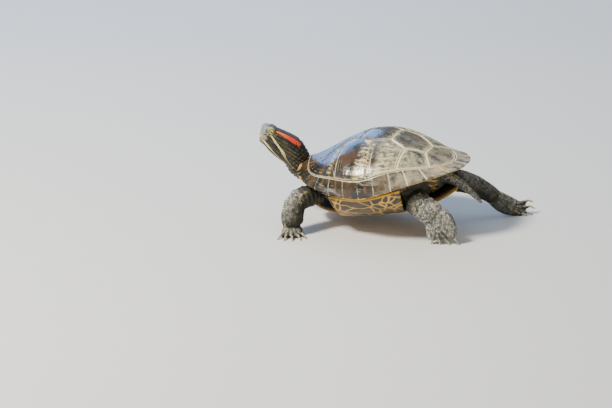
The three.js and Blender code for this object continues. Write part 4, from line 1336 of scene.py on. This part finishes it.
# Throws points on the skin of one area and keeps those that are far enough from their neighbours.
def throwScales(skinData, name, rng):
    start, length = scaleAreas[name]
    points, corners, normals, values = skinData
    here = (values["region"][corners] == regionCodes[name]).all(axis=1)
    picked = np.flatnonzero(here & (values["along"][corners].mean(axis=1) > start))
    a, b, c = (points[corners[picked, k]] for k in range(3))
    area = np.linalg.norm(np.cross(b - a, c - a), axis=1) / 2
    tries = int(area.sum() * scaleLook["triesPerArea"])
    chosen = rng.choice(len(picked), size=tries, p=area / area.sum())
    u, v = rng.random(tries), rng.random(tries)
    over = u + v > 1
    u, v = np.where(over, 1 - u, u), np.where(over, 1 - v, v)
    spots = a[chosen] + (b - a)[chosen] * u[:, None] + (c - a)[chosen] * v[:, None]
    kept, table = [], {}
    for face, spot in zip(picked[chosen], spots):
        vertex = corners[face][0]
        size = scaleSpacing(name, values["along"][vertex], length, normals[vertex])
        cell = tuple(int(p // scaleLook["shinSpacing"]) for p in spot)
        if isClear(table, cell, spot, size):
            table.setdefault(cell, []).append((tuple(spot), size))
            kept.append((spot, size, vertex))
    return kept


def buildScales(skinData, name, material, rng):
    look, length = scaleLook, scaleAreas[name][1]
    normals, values = skinData[2:]
    kept = throwScales(skinData, name, rng)
    runs = np.diff(np.array(limbLines[name]), axis=0)
    steps = np.concatenate([[0], np.cumsum(np.linalg.norm(runs, axis=1))])
    whole = bmesh.new()
    for first in range(0, len(kept), look["batch"]):
        bm = bmesh.new()
        layers = {key: bm.verts.layers.float.new(key) for key in values}
        toneLayer = bm.verts.layers.float.new("tone")
        bake = bm.loops.layers.uv.new("OFBake")
        for spot, size, vertex in kept[first:first + look["batch"]]:
            along, around = float(values["along"][vertex]), float(values["around"][vertex])
            segment = min(len(runs) - 1, max(0, int(np.searchsorted(steps, along)) - 1))
            normal = Vector(normals[vertex])
            down = Vector(runs[segment])
            down = (down - normal * down.dot(normal)).normalized()
            side = normal.cross(down)
            up = (normal - down * look["lean"]).normalized()
            radius = size * 0.5 * look["cover"] * rng.uniform(0.88, 1.08)
            depth = look["thickness"] * (0.6 + 0.4 * size / 1.5)
            centre = Vector(spot) + normal * (depth / 2 - look["sink"])
            turn, narrow, long = rng.uniform(-0.5, 0.5), rng.uniform(0.88, 1.0), rng.uniform(1.0, 1.16)
            place = (Matrix.Translation(centre * mm) @ Matrix((down, side, up)).transposed().to_4x4()
                     @ Matrix.Rotation(turn, 4, "Z") @ Matrix.Scale(mm, 4)
                     @ Matrix.Diagonal((long, narrow, 1, 1)))
            made = bmesh.ops.create_cone(bm, cap_ends=True, segments=6, radius1=radius,
                                         radius2=radius * look["top"], depth=depth, matrix=place)["verts"]
            tone = rng.random()
            u = 0.02 + 0.96 * min(1, max(0, along / length))
            w = 0.02 + 0.96 * (around / (2 * math.pi) + 0.5)
            for v in made:
                for key, layer in layers.items():
                    v[layer] = values[key][vertex]
                v[toneLayer] = tone
                v.co.z = max(v.co.z, look["sole"] * mm)
                offset = (v.co / mm - centre) * (look["patch"] / radius * 0.8)
                for loop in v.link_loops:
                    loop[bake].uv = (u + offset.dot(down), w + offset.dot(side))
        addAndFree(bm, whole)
    newPiece(name + "Scales", whole, material, (), shadeSmooth=False)
    print(name, "scales:", len(kept))


def coverWithScales(piece):
    mesh = piece.data
    mesh.calc_loop_triangles()
    corners = np.array([t.vertices for t in mesh.loop_triangles])
    points = np.array([v.co for v in mesh.vertices]) / mm
    normals = np.array([v.normal for v in mesh.vertices])
    values = {}
    for attribute in mesh.attributes:
        if attribute.data_type == "FLOAT" and attribute.domain == "POINT":
            column = np.zeros(len(points), dtype=np.float32)
            attribute.data.foreach_get("value", column)
            values[attribute.name] = column
    rng = np.random.default_rng(scaleLook["seed"])
    material = makeSkinMaterial("scaleHide", scale=True)
    for name in scaleAreas:
        buildScales((points, corners, normals, values), name, material, rng)


coverWithScales(skin)


# Eyes: the ball is drawn a little smaller than the socket.
eyePaint = dict(iris=(0.66, 0.66, 0.08), irisDark=(0.22, 0.24, 0.04), irisPale=(0.62, 0.62, 0.12),
                pupil=(0.004, 0.004, 0.004), rim=(0.06, 0.06, 0.03), white=(0.30, 0.28, 0.12))
ballShare = 0.985


def makeEyeMaterial():
    r = Recipe("eyeball", eyePaint, "iris")
    x, z = r.attribute("irisT"), r.attribute("irisN") - 0.1
    radius = (x * x + z * z).root()
    r.paint(r.noise(700, 4, 0.7).fade(0.4, 0.65), "irisDark")
    r.paint(radius.fade(1.5, 1.15), "irisPale")
    r.paint(radius.fade(2.5, 2.9), "rim")
    r.paint(radius.fade(3.1, 3.5), "white")
    r.paint(abs(z).fade(0.62, 0.38) * abs(x).fade(2.9, 2.6) * 0.85, "pupil")
    r.paint(radius.fade(1.12, 0.98), "pupil")
    return r.finish(0.12, Coat_Weight=1.0, Coat_Roughness=0.02)


def buildEyes():
    material = makeEyeMaterial()
    a, b, c = head["eyeBall"]
    for word, side in (("left", -1), ("right", 1)):
        bm = bmesh.new()
        bmesh.ops.create_uvsphere(bm, u_segments=64, v_segments=48, radius=1)
        across, rise = (bm.verts.layers.float.new(key) for key in ("irisT", "irisN"))
        for v in bm.verts:
            out = side * head["eyeL"] + v.co.y * b * ballShare
            v[across], v[rise] = v.co.x * a, v.co.z * c
            v.co = fromHeadFrame(np.array([head["eyeT"] + v[across] * ballShare, out,
                                           head["eyeN"] + v[rise] * ballShare]))
        bmesh.ops.recalc_face_normals(bm, faces=bm.faces)
        newPiece(word + "Eyeball", bm, material, ("eye_" + word,))
    print("eyes built")


buildEyes()


# Claws: each solid smoothed, with its root sunk into the toe by some millimetres.
clawLook = dict(root=3.2, floor=0.05, pale=(0.50, 0.43, 0.27), dark=(0.20, 0.15, 0.08))


def makeClawMaterial():
    r = Recipe("clawHorn", clawLook, "pale")
    streak = r.noise(500, 3, 0.6, r.stretch((1, 1, 0.4)))
    r.paint(streak.fade(0.35, 0.7), "dark")
    return r.finish(0.3, r.relief(streak, 0.2, 0.0002), Coat_Weight=0.3, Coat_Roughness=0.2)


def buildClaws():
    material = makeClawMaterial()
    for name in sorted(n for n in nodes if "_claw_" in n):
        bm = mergedCopy(name)
        bmesh.ops.subdivide_edges(bm, edges=bm.edges, cuts=1, smooth=0.6, use_grid_fill=True)
        bmesh.ops.smooth_vert(bm, verts=bm.verts, factor=0.3, use_axis_x=True, use_axis_y=True,
                              use_axis_z=True)
        words = name.split("_")
        foot = feet[words[0] + words[1].capitalize()]
        root = (Vector(foot["root"]) + Vector((bodyX, 0, 0))) * mm
        ordered = sorted((v.co.copy() for v in bm.verts), key=lambda place: (place - root).length)
        base, axis = ordered[0], ordered[-1] - ordered[0]
        for v in bm.verts:
            share = 1 - (v.co - base).dot(axis) / axis.length_squared
            v.co -= axis.normalized() * clawLook["root"] * mm * smooth(share * 1.4)
            v.co.z = max(v.co.z, clawLook["floor"] * mm)
        newPiece(name.replace("_claw_", "Talon").replace("_", ""), bm, material, (name,))
    print("claws built")


buildClaws()
